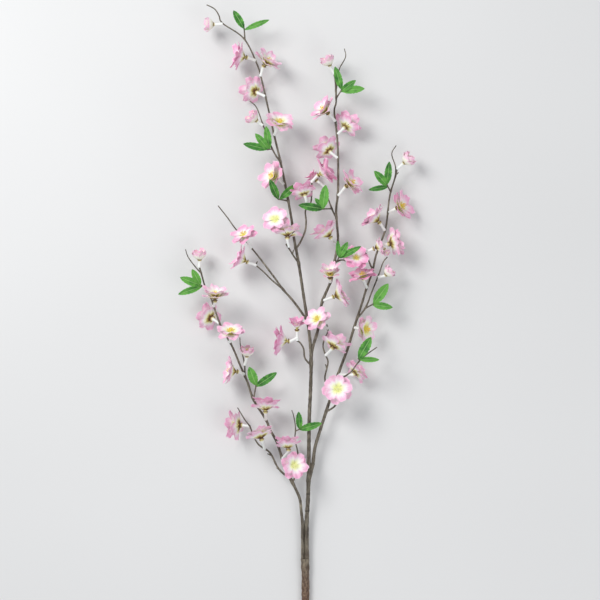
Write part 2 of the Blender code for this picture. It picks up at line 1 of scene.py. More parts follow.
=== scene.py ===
# %% [markdown]
# # An artificial peach blossom branch
# The object is a silk branch about a metre long. Wire stems in brown plastic carry short white pegs, and
# each peg carries a bloom of two die-cut cloth layers round a yellow tuft. The branch lies on a table, so
# the camera looks straight down on it.
# The CAD frame gives every stem, bloom and leaf its place. This script replaces each plain CAD solid with
# a finer one in the same place, and gives the new pieces their finishes.

# %% Load the frame
import math
import random

import bmesh
import bpy
import numpy as np
from mathutils import Matrix, Vector


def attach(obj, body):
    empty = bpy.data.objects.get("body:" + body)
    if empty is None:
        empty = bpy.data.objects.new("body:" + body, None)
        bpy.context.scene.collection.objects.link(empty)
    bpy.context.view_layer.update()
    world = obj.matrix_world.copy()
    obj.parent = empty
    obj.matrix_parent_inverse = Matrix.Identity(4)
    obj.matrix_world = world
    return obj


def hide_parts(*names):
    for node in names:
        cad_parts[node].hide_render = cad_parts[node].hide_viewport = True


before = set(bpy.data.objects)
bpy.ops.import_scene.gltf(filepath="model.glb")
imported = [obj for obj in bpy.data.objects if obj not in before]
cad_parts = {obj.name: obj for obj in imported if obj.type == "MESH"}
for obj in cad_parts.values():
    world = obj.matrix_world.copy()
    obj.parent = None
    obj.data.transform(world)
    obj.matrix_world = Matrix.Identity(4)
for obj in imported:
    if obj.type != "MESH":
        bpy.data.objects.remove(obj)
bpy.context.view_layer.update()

MM = 0.001

# %% [markdown]
# ## Stage
# The photograph was taken square on, from far away, so a long lens high above the branch gives the same
# view. The floor is plain and pale. One large soft light stands up and to the left, as the soft shadows on
# the right of the blooms show, and a weaker one fills from the other side.

# %% Camera
VIEW_CENTRE = Vector((-8.8, 500.0, 33.0)) * MM
VIEW_WIDTH = 960.0 * MM
LENS = 160.0
SENSOR = 36.0

camera_data = bpy.data.cameras.new("view_from_above")
camera_data.lens = LENS
camera_data.sensor_width = SENSOR
camera = bpy.data.objects.new("view_from_above", camera_data)
camera.location = VIEW_CENTRE + Vector((0, 0, VIEW_WIDTH * LENS / SENSOR))
bpy.context.scene.collection.objects.link(camera)
bpy.context.scene.camera = camera
print("camera height in m:", round(camera.location.z, 2))


# %% Floor and lights
def deselect():
    """Leaves edit mode with nothing selected."""
    if bpy.context.object and bpy.context.object.mode != "OBJECT":
        bpy.ops.object.mode_set(mode="OBJECT")
    bpy.ops.object.select_all(action="DESELECT")


def soft_light(name, place, size, watts):
    """A square soft light that looks at the middle of the branch."""
    deselect()
    bpy.ops.object.light_add(type="AREA", location=place)
    light = bpy.context.object
    light.name = name
    light.data.size = size
    light.data.energy = watts
    light.rotation_mode = "QUATERNION"
    light.rotation_quaternion = (VIEW_CENTRE - light.location).to_track_quat("-Z", "Y")
    return light


FLOOR_SIZE = 12.0
SKY = (0.93, 0.95, 1.0, 1.0)
SKY_STRENGTH = 0.55

deselect()
bpy.ops.mesh.primitive_plane_add(size=FLOOR_SIZE, location=(0, 0.5, 0))
floor = bpy.context.object
floor.name = "floor"
soft_light("key_light", place=(-1.3, 1.7, 1.9), size=1.1, watts=42)
soft_light("fill_light", place=(1.2, -0.6, 1.9), size=1.6, watts=13)

world = bpy.data.worlds.new("studio")
world.use_nodes = True
sky = world.node_tree.nodes["Background"]
sky.inputs["Color"].default_value = SKY
sky.inputs["Strength"].default_value = SKY_STRENGTH
bpy.context.scene.world = world
bpy.context.scene.view_settings.view_transform = "Standard"
print("floor:", FLOOR_SIZE, "m, sky strength:", SKY_STRENGTH)

# %% [markdown]
# ## Writing materials as sums
# A pattern is a sum over the surface, such as "a dark streak where we are near the middle of the petal".
# In the shader editor that takes many Math nodes. Here a small class wraps a socket and overloads the
# arithmetic, so that each sum is written as Python and its nodes are added for us. Colours go through Mix,
# because a Math node turns a colour grey.


# %% A field
class Field:
    """A number that changes over the surface: one output socket of a shader node."""

    def __init__(self, finish, socket):
        self.finish = finish
        self.socket = socket

    def maths(self, operation, *values):
        return self.finish.node("ShaderNodeMath", {"operation": operation}, dict(enumerate(values)))

    def __add__(self, other):
        return self.maths("ADD", self, other)

    def __radd__(self, other):
        return self.maths("ADD", other, self)

    def __sub__(self, other):
        return self.maths("SUBTRACT", self, other)

    def __rsub__(self, other):
        return self.maths("SUBTRACT", other, self)

    def __mul__(self, other):
        return self.maths("MULTIPLY", self, other)

    def __rmul__(self, other):
        return self.maths("MULTIPLY", other, self)

    def __abs__(self):
        return self.maths("ABSOLUTE", self)

    def sine(self):
        return self.maths("SINE", self)

    def step(self, start, end):
        """0 below start and 1 above end, smoothly; start may be the larger one."""
        inputs = {"Value": self, "From Min": start, "From Max": end}
        return self.finish.node("ShaderNodeMapRange", {"interpolation_type": "SMOOTHSTEP"}, inputs)


print("a field has:", [name for name in vars(Field) if callable(vars(Field)[name])])


# %% A finish
class Finish:
    """One Principled material, with one method that adds any node."""

    def __init__(self, name):
        self.material = bpy.data.materials.new(name)
        self.material.use_nodes = True
        self.tree = self.material.node_tree
        self.shader = self.tree.nodes["Principled BSDF"]

    def put(self, value, socket):
        """Links a field to the socket, or sets a plain value on it."""
        if isinstance(value, Field):
            self.tree.links.new(value.socket, socket)
        elif isinstance(value, tuple) and len(value) == 3 and socket.type == "RGBA":
            socket.default_value = (*value, 1.0)
        else:
            socket.default_value = value

    def node(self, kind, settings=None, inputs=None, out=0):
        """Adds a node, sets it up, and gives its output as a field."""
        node = self.tree.nodes.new(kind)
        for name, value in (settings or {}).items():
            if name == "stops":
                self.set_ramp(node.color_ramp, value)
            else:
                setattr(node, name, value)
        for key, value in (inputs or {}).items():
            self.put(value, node.inputs[key])
        return Field(self, node.outputs[out])

    @staticmethod
    def set_ramp(ramp, stops):
        for _ in range(len(stops) - 2):
            ramp.elements.new(0.5)
        for element, (place, colour) in zip(ramp.elements, stops):
            element.position = place
            element.color = (*colour, 1.0)

    def ramp(self, value, stops):
        """A colour that runs through the stops as the value grows."""
        return self.node("ShaderNodeValToRGB", {"stops": stops}, {"Fac": value})

    def mix(self, factor, first, second):
        """The first colour where the factor is 0 and the second where it is 1."""
        return self.node("ShaderNodeMix", {"data_type": "RGBA"}, {0: factor, 6: first, 7: second}, 2)

    def attribute(self, name):
        return self.node("ShaderNodeAttribute", {"attribute_name": name}, out=2)

    def place(self):
        return self.node("ShaderNodeTexCoord", out=3)

    def across_and_along(self):
        """The two numbers of the piece's own UV map: across and along a petal or leaf."""
        uv = self.node("ShaderNodeUVMap", {"uv_map": "UVMap"})
        parts = self.node("ShaderNodeSeparateXYZ", inputs={0: uv})
        return parts, Field(self, parts.socket.node.outputs[1]), uv

    def noise(self, vector, scale, detail=2.0):
        return self.node("ShaderNodeTexNoise", {}, {"Vector": vector, "Scale": scale, "Detail": detail})

    def stretched(self, vector, scale):
        return self.node("ShaderNodeMapping", {}, {"Vector": vector, "Scale": scale})

    def finish(self, colour, roughness, height=None, depth=0.0):
        """Feeds the shader; depth is how far the bumps stand out, in metres."""
        self.put(colour, self.shader.inputs["Base Color"])
        self.put(roughness, self.shader.inputs["Roughness"])
        if height is not None:
            bump = self.node("ShaderNodeBump", {}, {"Height": height, "Distance": depth, "Strength": 1.0})
            self.put(bump, self.shader.inputs["Normal"])
        print("finish:", self.material.name, "with", len(self.tree.nodes), "nodes")
        return self.material


print("a finish has:", [name for name in vars(Finish) if not name.startswith("__")])

# %% [markdown]
# ## Petal cloth
# The petals are stiffened polyester cloth, printed from the middle outwards: yellow-green at the root,
# then white, then pink that deepens towards the rim, with faint veins along the petal. The petal's own UV
# map runs across and along it, so the print follows the cloth however the petal curls. A number stored on
# each petal makes some a little deeper, and a second one turns the cups of the buds white-green. A very
# fine weave shows only as bump.

# %% Petal colours
PALE_RIM = (0.95, 0.78, 0.87)
VEIN_PINK = (0.80, 0.30, 0.50)
BUD_WHITE = (0.93, 0.94, 0.80)
SEPAL_BROWN = (0.10, 0.035, 0.012)
FACE_STOPS = [
    (0.0, (0.86, 0.88, 0.36)), (0.20, (0.92, 0.94, 0.54)), (0.38, (0.95, 0.95, 0.84)),
    (0.53, (0.95, 0.83, 0.88)), (0.75, (0.94, 0.56, 0.73)), (1.0, (0.89, 0.38, 0.60)),
]
BACK_STOPS = [
    (0.0, (0.10, 0.04, 0.012)), (0.12, (0.20, 0.10, 0.025)), (0.25, (0.56, 0.47, 0.12)),
    (0.38, (0.90, 0.90, 0.60)), (0.52, (0.94, 0.88, 0.90)), (0.76, (0.93, 0.58, 0.74)),
    (1.0, (0.87, 0.37, 0.59)),
]
print("colours from root to rim: face", len(FACE_STOPS), "back", len(BACK_STOPS))

# %% Petal face and petal back
WEAVE_SCALE = 2600.0
BLOTCH_SCALE = 210.0
VEIN_STRETCH = (26.0, 2.2, 1.0)
SHEEN = 0.1
SHEEN_ROUGHNESS = 0.5


def weave(finish, place):
    """Threads of the cloth, about a third of a millimetre apart."""
    return finish.noise(place, WEAVE_SCALE, 1.0)


def petal_finish(name, stops, streaks):
    """The print shifts along the petal with blotches, veins and the petal's own tint."""
    cloth = Finish(name)
    across, along, uv = cloth.across_and_along()
    tint = cloth.attribute("tint")
    place = cloth.place()
    blotches = cloth.noise(place, BLOTCH_SCALE)
    veins = cloth.noise(cloth.stretched(uv, VEIN_STRETCH), 1.0)
    reach = along + (blotches - 0.5) * 0.3 + (veins - 0.5) * 0.2 + (tint - 0.5) * 0.34
    colour = cloth.ramp(reach, stops)
    colour = cloth.mix(along.step(0.91, 0.98) * 0.6, colour, PALE_RIM)
    colour = cloth.mix(veins.step(0.54, 0.72) * along.step(0.3, 0.7) * 0.4, colour, VEIN_PINK)
    below_rim = (along + (blotches - 0.5) * 0.3).step(0.95, 0.6)
    colour = cloth.mix(cloth.attribute("pale") * below_rim * along.step(0.1, 0.3), colour, BUD_WHITE)
    if streaks:
        off_middle = abs(across - 0.5)
        sepal = (off_middle + along * 0.33 + (veins - 0.5) * 0.05).step(0.14, 0.09)
        colour = cloth.mix(sepal * 0.85, colour, SEPAL_BROWN)
    cloth.shader.inputs["Sheen Weight"].default_value = SHEEN
    cloth.shader.inputs["Sheen Roughness"].default_value = SHEEN_ROUGHNESS
    height = weave(cloth, place) * 0.35 + veins
    return cloth.finish(colour, 0.74 + blotches * 0.16, height, 0.00016)


petal_face = petal_finish("petal_face_cloth", FACE_STOPS, False)
petal_back = petal_finish("petal_back_cloth", BACK_STOPS, True)

# %% [markdown]
# ## Tuft, peg and calyx
# The tuft is a bunch of dyed threads with thicker orange tips. The peg is smooth white plastic, pressed on
# the stem, and its top flares into a calyx that goes from yellow-green to brown.

# %% Tuft, peg and calyx finishes
TUFT_STOPS = [
    (0.0, (0.90, 0.86, 0.30)), (0.45, (0.95, 0.82, 0.16)), (0.8, (0.96, 0.72, 0.07)),
    (1.0, (0.86, 0.42, 0.04)),
]
PALE_YELLOW = (0.96, 0.96, 0.58)
PEG_STOPS = [
    (0.0, (0.80, 0.83, 0.80)), (0.6, (0.92, 0.94, 0.90)), (0.76, (0.60, 0.52, 0.20)),
    (0.9, (0.14, 0.06, 0.02)),
]


def tuft_finish():
    """Yellow threads with orange tips; the attribute "pale" makes the whole tuft lighter."""
    thread = Finish("tuft_thread")
    place = thread.place()
    grain = thread.noise(place, 900.0)
    tip = thread.attribute("tint")
    colour = thread.ramp(tip + (grain - 0.5) * 0.3, TUFT_STOPS)
    colour = thread.mix(thread.attribute("pale"), colour, PALE_YELLOW)
    return thread.finish(colour, 0.62 + grain * 0.2, grain, 0.0001)


def peg_finish():
    """White along the peg and brown at its calyx, as the attribute "tint" grows."""
    plastic = Finish("peg_plastic")
    grain = plastic.noise(plastic.place(), 500.0)
    colour = plastic.ramp(plastic.attribute("tint") + (grain - 0.5) * 0.2, PEG_STOPS)
    return plastic.finish(colour, 0.36 + grain * 0.2, grain, 0.00008)


tuft_thread = tuft_finish()
peg_plastic = peg_finish()

# %% [markdown]
# ## Stem coating
# The wire stems are dipped in brown plastic that copies bark: grey-brown, with fine lengthwise grain, paler
# rubbed ridges and dark flecks. Round the foot, where two stems are bundled, the coat is thicker, redder
# and rougher. Noise on Object coordinates works for all of them, because every stem keeps its place.

# %% Stem finish
BARK_STOPS = [
    (0.34, (0.040, 0.030, 0.021)), (0.47, (0.105, 0.088, 0.063)), (0.57, (0.19, 0.168, 0.125)),
    (0.68, (0.33, 0.29, 0.21)),
]
RUST_STOPS = [
    (0.36, (0.030, 0.018, 0.012)), (0.48, (0.13, 0.062, 0.034)), (0.58, (0.20, 0.12, 0.07)),
    (0.7, (0.40, 0.32, 0.22)),
]
RINGS_AT = (188.5, 161.0)
RING_DARK = (0.02, 0.013, 0.009)
FLECK_DARK = (0.03, 0.022, 0.015)
GRAIN_STRETCH = (1.0, 0.2, 1.0)
TRUNK_X = 3.5 * MM


def stem_finish():
    """Grey-brown bark that turns rusty towards the foot, with two dark rings on the trunk."""
    bark = Finish("stem_coating")
    place = bark.place()
    grain = bark.noise(bark.stretched(place, GRAIN_STRETCH), 520.0, 5.0)
    patches = bark.noise(place, 60.0, 3.0)
    flecks = bark.noise(place, 420.0, 4.0)
    x = bark.node("ShaderNodeSeparateXYZ", inputs={0: place})
    y = Field(bark, x.socket.node.outputs[1])
    sleeve = y.step(120 * MM, 0.0) * abs(x).step(20 * MM, 15 * MM)
    rust = bark.ramp(grain * 0.45 + flecks * 0.55, RUST_STOPS)
    colour = bark.mix(sleeve, bark.ramp(grain * 0.6 + patches * 0.4, BARK_STOPS), rust)
    on_trunk = abs(x - TRUNK_X).step(8 * MM, 7 * MM)
    for ring in RINGS_AT:
        band = abs(y - ring * MM).step(1.4 * MM, 0.6 * MM) * on_trunk
        colour = bark.mix(band * 0.85, colour, RING_DARK)
    colour = bark.mix(flecks.step(0.62, 0.74) * 0.5, colour, FLECK_DARK)
    height = grain + flecks * (0.5 + sleeve)
    return bark.finish(colour, 0.5 + grain * 0.35, height, 0.0006)


stem_coating = stem_finish()

# %% [markdown]
# ## Leaf cloth
# The leaves are the same kind of cloth, printed green with a paler midrib, side veins that slant forwards,
# and a paler rim. The UV map again carries the print: across tells how far we are from the midrib, and a
# sine of the way along, sheared by the way across, draws the side veins.

# %% Leaf finish
LEAF_STOPS = [(0.32, (0.010, 0.080, 0.008)), (0.5, (0.036, 0.20, 0.020)), (0.68, (0.12, 0.38, 0.05))]
LEAF_RIM = (0.19, 0.48, 0.11)
SIDE_VEIN = (0.18, 0.46, 0.10)
MIDRIB = (0.34, 0.62, 0.20)


def leaf_finish():
    """Green cloth; the attribute "tint" makes some leaves lighter."""
    cloth = Finish("leaf_cloth")
    across, along, uv = cloth.across_and_along()
    tint = cloth.attribute("tint")
    place = cloth.place()
    off_middle = abs(across - 0.5)
    blotches = cloth.noise(place, 120.0, 3.0)
    wave = ((along - off_middle * 0.55) * 60.0 + blotches * 2.0).sine()
    side_veins = wave.step(0.80, 1.0) * off_middle.step(0.5, 0.2)
    midrib = off_middle.step(0.055, 0.015)
    rim = off_middle.step(0.42, 0.5)
    shade = blotches * 0.8 + tint * 0.3 + off_middle * 0.15
    colour = cloth.mix(rim * 0.5, cloth.ramp(shade, LEAF_STOPS), LEAF_RIM)
    colour = cloth.mix(side_veins * 0.6, colour, SIDE_VEIN)
    colour = cloth.mix(midrib * 0.75, colour, MIDRIB)
    height = weave(cloth, place) * 0.3 + side_veins * 0.8 + midrib
    return cloth.finish(colour, 0.55 + blotches * 0.2, height, 0.0003)


leaf_cloth = leaf_finish()

# %% [markdown]
# ## Layout
# The CAD model places everything by short lists, in millimetres and degrees. The same lists are repeated
# here, so that a fine piece has the same foot, hub and direction as the solid that it stands for.

# %% Stems: radius at the root, radius at the tip, points
STEMS = {
    "main_stem": {
        "sleeve": (6.2, 6.2, [(0, -20, 5.85), (0, 14, 5.85), (0, 50, 7), (-0.8, 84, 9)]),
        "main": (3.6, 0.9, [
            (2, 70, 8.2), (2.2, 84, 9), (2, 143, 12.5), (4, 180, 15.5), (5, 220, 18), (6, 308, 23),
            (8, 353, 25), (9, 404, 27), (6, 447, 28), (-2, 500, 30), (-11, 559, 32), (-18, 596, 33),
            (-23, 633, 33), (-36, 702, 32), (-43, 734, 31), (-52, 772, 29), (-70, 852, 27), (-79, 881, 27),
            (-99, 919, 29), (-133, 943, 32), (-138, 954, 34), (-145, 965, 36), (-158, 972, 37),
        ]),
        "right_stub": (2.9, 2.7, [(5, 210, 17.5), (9, 224, 18.5), (12, 238, 19)]),
        "upper_twig": (1.4, 0.8, [
            (-41, 722, 31.3), (-48, 732, 34), (-56, 748, 37), (-68, 780, 39), (-78, 807, 40), (-89, 818, 41),
        ]),
        "inner_left": (1.4, 1.2, [(-20, 610, 33), (-28, 613, 39), (-35, 613, 43)]),
        "left_spur": (1.5, 1.1, [(-11, 559, 32), (-18, 569, 40), (-25, 580, 50), (-31, 589, 58)]),
        "inner_twig": (1.6, 1.1, [
            (-15, 583, 32.5), (-9, 591, 35), (-1, 609, 38), (1, 625, 38), (0, 643, 36), (8, 654, 34),
            (10, 671, 32), (10, 689, 33),
        ]),
        "inner_spur": (1.4, 1.2, [(2, 647, 35.5), (3, 651, 43), (2, 655, 50)]),
        "centre_limb": (2.5, 1.3, [
            (9, 402, 27), (11, 422, 28), (20, 453, 29.5), (26, 494, 30.5), (41, 532, 31.5), (47, 564, 32),
            (52, 596, 32.5), (49, 641, 33), (52, 674, 34), (52, 733, 35), (50, 767, 35), (46, 802, 35),
            (49, 817, 35), (48, 846, 35), (46, 862, 36),
        ]),
        "centre_tip": (1.2, 0.7, [(49, 834, 35), (51, 850, 37), (54, 869, 39), (64, 888, 42), (62, 901, 45)]),
        "centre_side": (1.4, 1.1, [(49, 632, 33), (44, 642, 29), (38, 658, 23), (30, 682, 18)]),
        "centre_outer": (1.4, 1.1, [(47, 560, 32), (53, 563, 35), (60, 564, 38), (66, 562, 40)]),
        "outer_left": (2.0, 0.8, [
            (2, 466, 28.7), (-4, 477, 29), (-21, 500, 29), (-36, 517, 29), (-52, 539, 29), (-78, 573, 29),
            (-112, 614, 30), (-125, 632, 32), (-140, 651, 34),
        ]),
        "outer_left_side": (1.4, 1.0, [(-36, 517, 29), (-54, 532, 30), (-67, 545, 31), (-80, 556, 32)]),
        "low_spur": (1.5, 1.1, [(8, 396, 27), (-1, 407, 29), (-3, 422, 31), (-9, 432, 33), (-14, 435, 34)]),
    },
    "right_limb": {
        "right": (2.7, 1.2, [
            (12.1, 238.35, 19), (15, 262, 19.5), (20, 280, 20), (26, 299, 20), (38, 336, 21), (55, 388, 22),
            (68, 423, 23), (78, 456, 23.5), (90, 493, 24), (98, 519, 24), (107, 545, 23.5), (113, 571, 23),
            (119, 588, 22.5), (129, 617, 22), (135, 666, 23), (143, 694, 25), (147, 710, 27),
        ]),
        "right_front": (1.6, 1.2, [(36, 322, 20.7), (47, 330, 25), (50, 341, 31), (50, 351, 35)]),
        "right_inner": (1.5, 1.0, [
            (40, 343, 21), (35, 360, 27), (31, 376, 33), (36, 400, 38), (32, 412, 38), (28, 426, 31),
            (31, 439, 28), (36, 450, 29), (34, 461, 30),
        ]),
        "right_leafy": (1.5, 0.8, [
            (48, 366, 21.5), (56, 374, 31), (64, 379, 41), (73, 386, 49), (85, 402, 52), (97, 413, 53),
            (114, 425, 54),
        ]),
        "right_outer": (1.5, 0.9, [
            (84, 472, 23.7), (94, 484, 27), (100, 496, 29), (105, 510, 31), (117, 540, 33), (124, 560, 34),
            (131, 569, 35),
        ]),
        "right_spur": (1.4, 1.1, [(108, 548, 23.5), (104, 556, 31), (100, 566, 38), (96, 577, 43)]),
        "right_tip": (1.1, 0.7, [(144, 698, 25.3), (144, 714, 29), (138, 734, 33), (145, 747, 36)]),
    },
    "left_limb": {
        "left": (2.6, 1.2, [
            (-4.5, 84.35, 9), (-4.7, 124, 11.4), (-5, 143, 12.5), (-6.8, 161, 14), (-9, 180, 15.5),
            (-16, 197, 17), (-25, 215, 18.5), (-34, 236, 19.5), (-40, 254, 20), (-47, 274, 20),
            (-57, 292, 19.5), (-64, 309, 19.5), (-83, 339, 19.5), (-93, 368, 21), (-105, 396, 25),
            (-118, 427, 30), (-134, 455, 35), (-143, 479, 36), (-151, 502, 32), (-160, 519, 29),
            (-167, 543, 28), (-170, 553, 28),
        ]),
        "left_low": (1.7, 0.8, [
            (-24, 213, 18.3), (-34, 220, 19), (-45, 232, 20.5), (-57, 255, 22), (-75, 268, 24),
            (-84, 284, 26), (-89, 298, 37), (-97, 310, 55), (-108, 329, 64),
        ]),
        "left_inner": (1.5, 0.7, [
            (-21, 207, 17.7), (-14, 222, 14), (-11, 238, 11), (-13, 258, 10), (-17, 276, 11), (-16, 294, 15),
            (-19, 314, 18), (-22, 323, 20),
        ]),
        "left_side": (1.3, 0.7, [(-97, 378, 21.4), (-98, 399, 26), (-104, 426, 29), (-105, 440, 31)]),
        "left_tip": (1.1, 0.7, [(-167.5, 543, 28), (-178, 555, 27), (-188, 569, 30), (-192, 581, 33)]),
    },
}

print("stems:", sum(len(s) for s in STEMS.values()))

# %% Blooms and leaves
# Blooms: node, shape, stem or "peg" of the bloom above in the list, (x, y) of the peg's foot,
# the hub that the peg ends at, direction and rise of the face, radius
BLOOMS = [
    ("bloom_main_1", "open", "main", (-82, 884), (-92, 887, 38), (168, 5), 24.5),
    ("bloom_main_2", "open", "main", (-69, 861), (-68, 872, 37), (52, 15), 25.5),
    ("bloom_main_3", "open", "main", (-66, 827), (-76.3, 831.7, 28.92), (150, -42), 24),
    ("bloom_main_4", "wide", "main", (-49, 765), (-45, 777, 42), (66, 27), 25.5),
    ("bloom_main_5", "open", "main", (-34, 686), (-43.5, 694.5, 33), (157, 30), 25),
    ("bloom_main_6", "open", "left_spur", (-28, 585), (-29, 596, 61), (88, -15), 24.5),
    ("bloom_main_6", "wide", "inner_left", (-35, 613), (-46, 625, 51), (124, 58), 23.5),
    ("bloom_low_1", "cup", "low_spur", (-14, 435), (-13.5, 449.5, 37), (92, 12), 15),
    ("bloom_low_1", "open", "peg", None, (-24.5, 434, 36), (176, -5), 26),
    ("bloom_outer_1", "wide", "outer_left", (-87, 585), (-95, 598, 49), (118, 32), 23),
    ("bloom_outer_2", "open", "outer_left_side", (-80, 556), (-91, 559.5, 40), (151, 0), 23.5),
    ("bloom_centre_1", "open", "centre_limb", (47, 787), (38, 796, 45), (138, 18), 24.5),
    ("bloom_centre_2", "open", "centre_limb", (50, 766), (60.3, 774.2, 35.8), (48, -38), 24.5),
    ("bloom_centre_3", "open", "centre_limb", (52, 728), (40.5, 735.5, 37), (124, -40), 23.5),
    ("bloom_centre_4", "open", "inner_twig", (10, 689), (18.5, 698.5, 37), (29, 8), 24.5),
    ("bloom_centre_5", "cup", "centre_side", (30, 682), (19.5, 690.5, 16), (135, 5), 12),
    ("bloom_centre_6", "open", "centre_limb", (53, 668), (63, 680, 42), (36, 15), 24.5),
    ("bloom_centre_7", "open", "inner_spur", (2, 655), (-0.5, 664.5, 56), (110, -28), 21.5),
    ("bloom_centre_8", "open", "centre_limb", (51, 590), (41.5, 597, 55.5), (127, -12), 25),
    ("bloom_centre_9", "cup", "centre_limb", (41, 529), (39, 533, 43), (90, 25), 18.5),
    ("bloom_centre_10", "open", "centre_limb", (30, 500), (42, 504, 40), (24, -3), 25),
    ("bloom_centre_11", "wide", "centre_outer", (66, 562), (80, 562, 47), (80, 52), 22),
    ("bloom_right_1", "wide", "right_front", (50, 351), (51, 357, 46), (90, 80), 25.5),
    ("bloom_right_2", "open", "right_inner", (32, 412), (41, 421, 51), (57, -20), 25),
    ("bloom_right_3", "wide", "right", (53, 381), (76, 380, 30), (45, -25), 22.5),
    ("bloom_right_4", "open", "right", (78, 456), (88, 453, 31), (2, 38), 23),
    ("bloom_right_5", "wide", "right_inner", (35, 455), (22.5, 464, 48.5), (128, 42), 23),
    ("bloom_right_6", "wide", "right", (97, 521), (92.5, 532, 44), (100, 20), 24),
    ("bloom_right_7", "open", "right_spur", (96, 577), (106.5, 581, 46), (20, 0), 15),
    ("bloom_right_8", "open", "right", (120, 588), (130.5, 588.5, 34), (18, -18), 25),
    ("bloom_right_8", "bud", "peg", None, (126, 582, 38), (-60, 20), 6.5),
    ("bloom_right_9", "open", "right", (126, 613), (120, 622, 34), (136, 5), 25),
    ("bloom_right_10", "open", "right", (132.5, 641), (144, 646, 20.66), (25, 20), 26),
    ("bloom_left_1", "open", "left", (-147, 490), (-144, 496.5, 58), (88, 15), 22.5),
    ("bloom_left_2", "open", "left", (-138, 464), (-147.5, 469, 32), (153, -45), 23.3),
    ("bloom_left_3", "wide", "left", (-121, 434), (-119, 443, 53), (92, 28), 24),
    ("bloom_left_4", "open", "left", (-99, 382), (-106.5, 385, 39), (172, 6), 24),
    ("bloom_left_5", "open", "left", (-64, 309), (-64, 319, 46), (88, -12), 25),
    ("bloom_left_6", "open", "left_low", (-89, 298), (-100, 299.5, 32), (178, -20), 25),
    ("bloom_left_7", "open", "left_low", (-66, 262), (-69, 275, 51), (108, -20), 24),
    ("bloom_left_8", "open", "left", (-37, 246), (-27, 258.5, 46), (95, -18), 22.5),
    ("bloom_left_8", "wide", "left", (-32, 232), (-22, 235.5, 40), (10, 62), 23.5),
    ("bud_main_1", "bud", "main", (-133, 943), (-145, 941, 33), (180, 5), 12),
    ("bud_main_2", "bud", "upper_twig", (-68, 780), (-76.5, 785, 41), (140, 10), 13),
    ("bud_centre_1", "bud", "centre_limb", (46, 862), (40, 873, 37.5), (117, 10), 12.5),
    ("bud_right_1", "bud", "right_outer", (116, 537), (126.5, 538.5, 35), (42, 5), 11.5),
    ("bud_right_2", "bud", "right", (147, 710), (156, 718, 29), (42, 10), 13),
    ("bud_left_1", "bud", "left", (-170, 553), (-169.5, 562, 29), (93, 8), 13),
    ("bud_left_2", "bud", "left_side", (-97, 397), (-94, 408, 33), (86, 15), 12.5),
]

# Leaf clusters: node, stem, (x, y) of the petiole's foot, its top, then the leaves as (tip, width)
LEAVES = [
    ("leaves_top", "main", (-98, 917), (-98, 934, 40), [((-115, 962, 43), 12), ((-58, 947, 44), 9)]),
    ("leaves_main_1", "upper_twig", (-53, 742), (-61, 740, 45), [
        ((-99, 749, 49), 12), ((-80, 765, 53), 12), ((-63, 777, 50), 12),
    ]),
    ("leaves_main_2", "main", (-29, 659), (-44, 661, 42), [((-57, 692, 63), 12), ((-15, 684, 32), 12)]),
    ("leaves_inner", "centre_side", (42, 646), (27, 645, 50), [
        ((32, 683, 54), 15), ((-11, 651, 57), 13), ((15, 662, 54), 9),
    ]),
    ("leaves_centre_1", "centre_limb", (49, 824), (58, 836, 43), [
        ((47, 872, 49), 12), ((94, 837, 49), 13), ((80, 850, 51), 11),
    ]),
    ("leaves_centre_2", "centre_outer", (51, 563), (53, 568, 60), [
        ((51, 594, 64), 8), ((67, 592, 68), 11), ((88, 585, 68), 10),
    ]),
    ("leaves_left_1", "left", (-160, 519), (-168, 524, 40), [
        ((-181, 549, 45), 12), ((-200, 536, 45), 13), ((-203, 509, 45), 11),
    ]),
    ("leaves_left_2", "left", (-84, 343), (-79, 364, 33), [((-90, 393, 39), 15), ((-46, 384, 39), 13)]),
    ("leaves_left_3", "left_inner", (-15, 290), (-9, 293, 26), [((-11, 321, 31), 11), ((26, 303, 34), 12)]),
    ("leaves_right_1", "right_leafy", (86, 404), (84, 407, 60), [((104, 441, 65), 16), ((117, 405, 63), 9)]),
    ("leaves_right_2", "right_outer", (96, 488), (109, 494, 37), [
        ((132, 526, 43), 16), ((139, 488, 41), 12),
    ]),
    ("leaves_right_3", "right", (137, 674), (130, 685, 33), [
        ((134, 721, 38), 12), ((110, 706, 40), 13), ((101, 676, 39), 9),
    ]),
]

print("bloom rows:", len(BLOOMS), "leaf clusters:", len(LEAVES))


# %% [markdown]
# ## Routes
# A stem is a smooth curve through its points. The same curve answers where a peg meets the stem: at the
# nearest point of the axis, out by the stem's radius.


# %% Curve helpers
CAD_STEP = 28.0 * MM


def heading(azimuth, rise):
    """Unit vector at this direction from +X in the table's plane, and this rise above it."""
    azimuth, rise = math.radians(azimuth), math.radians(rise)
    return Vector((math.cos(azimuth) * math.cos(rise), math.sin(azimuth) * math.cos(rise), math.sin(rise)))


def catmull_rom(a, b, c, d, t):
    """Point at t between b and c on the smooth curve through a, b, c and d."""
    return 0.5 * (2 * b + (c - a) * t + (2 * a - 5 * b + 4 * c - d) * t**2 + (3 * b - a - 3 * c + d) * t**3)


def smooth_route(points, step):
    """Evenly stepped points in metres on the smooth curve through the given ones, which are in mm."""
    knots = [Vector(p) * MM for p in points]
    knots = [2 * knots[0] - knots[1], *knots, 2 * knots[-1] - knots[-2]]
    route = []
    for a, b, c, d in zip(knots, knots[1:], knots[2:], knots[3:]):
        steps = max(1, round((c - b).length / step))
        route += [catmull_rom(a, b, c, d, i / steps) for i in range(steps)]
    return [*route, knots[-2]]


def tapered(root, tip, route):
    """The route with its radius at every point."""
    last = len(route) - 1
    return [(p, (root + (tip - root) * i / last) * MM) for i, p in enumerate(route)]


axes = {
    name: tapered(root, tip, smooth_route(points, CAD_STEP))
    for stems in STEMS.values()
    for name, (root, tip, points) in stems.items()
}
print("stem axes:", len(axes), "points:", sum(len(axis) for axis in axes.values()))

# %% Seats
GAP = 0.3 * MM
SAME_POINT = 1e-6
CLEARLY_NEARER = 1e-9
ALONG_THE_TIP = 0.7


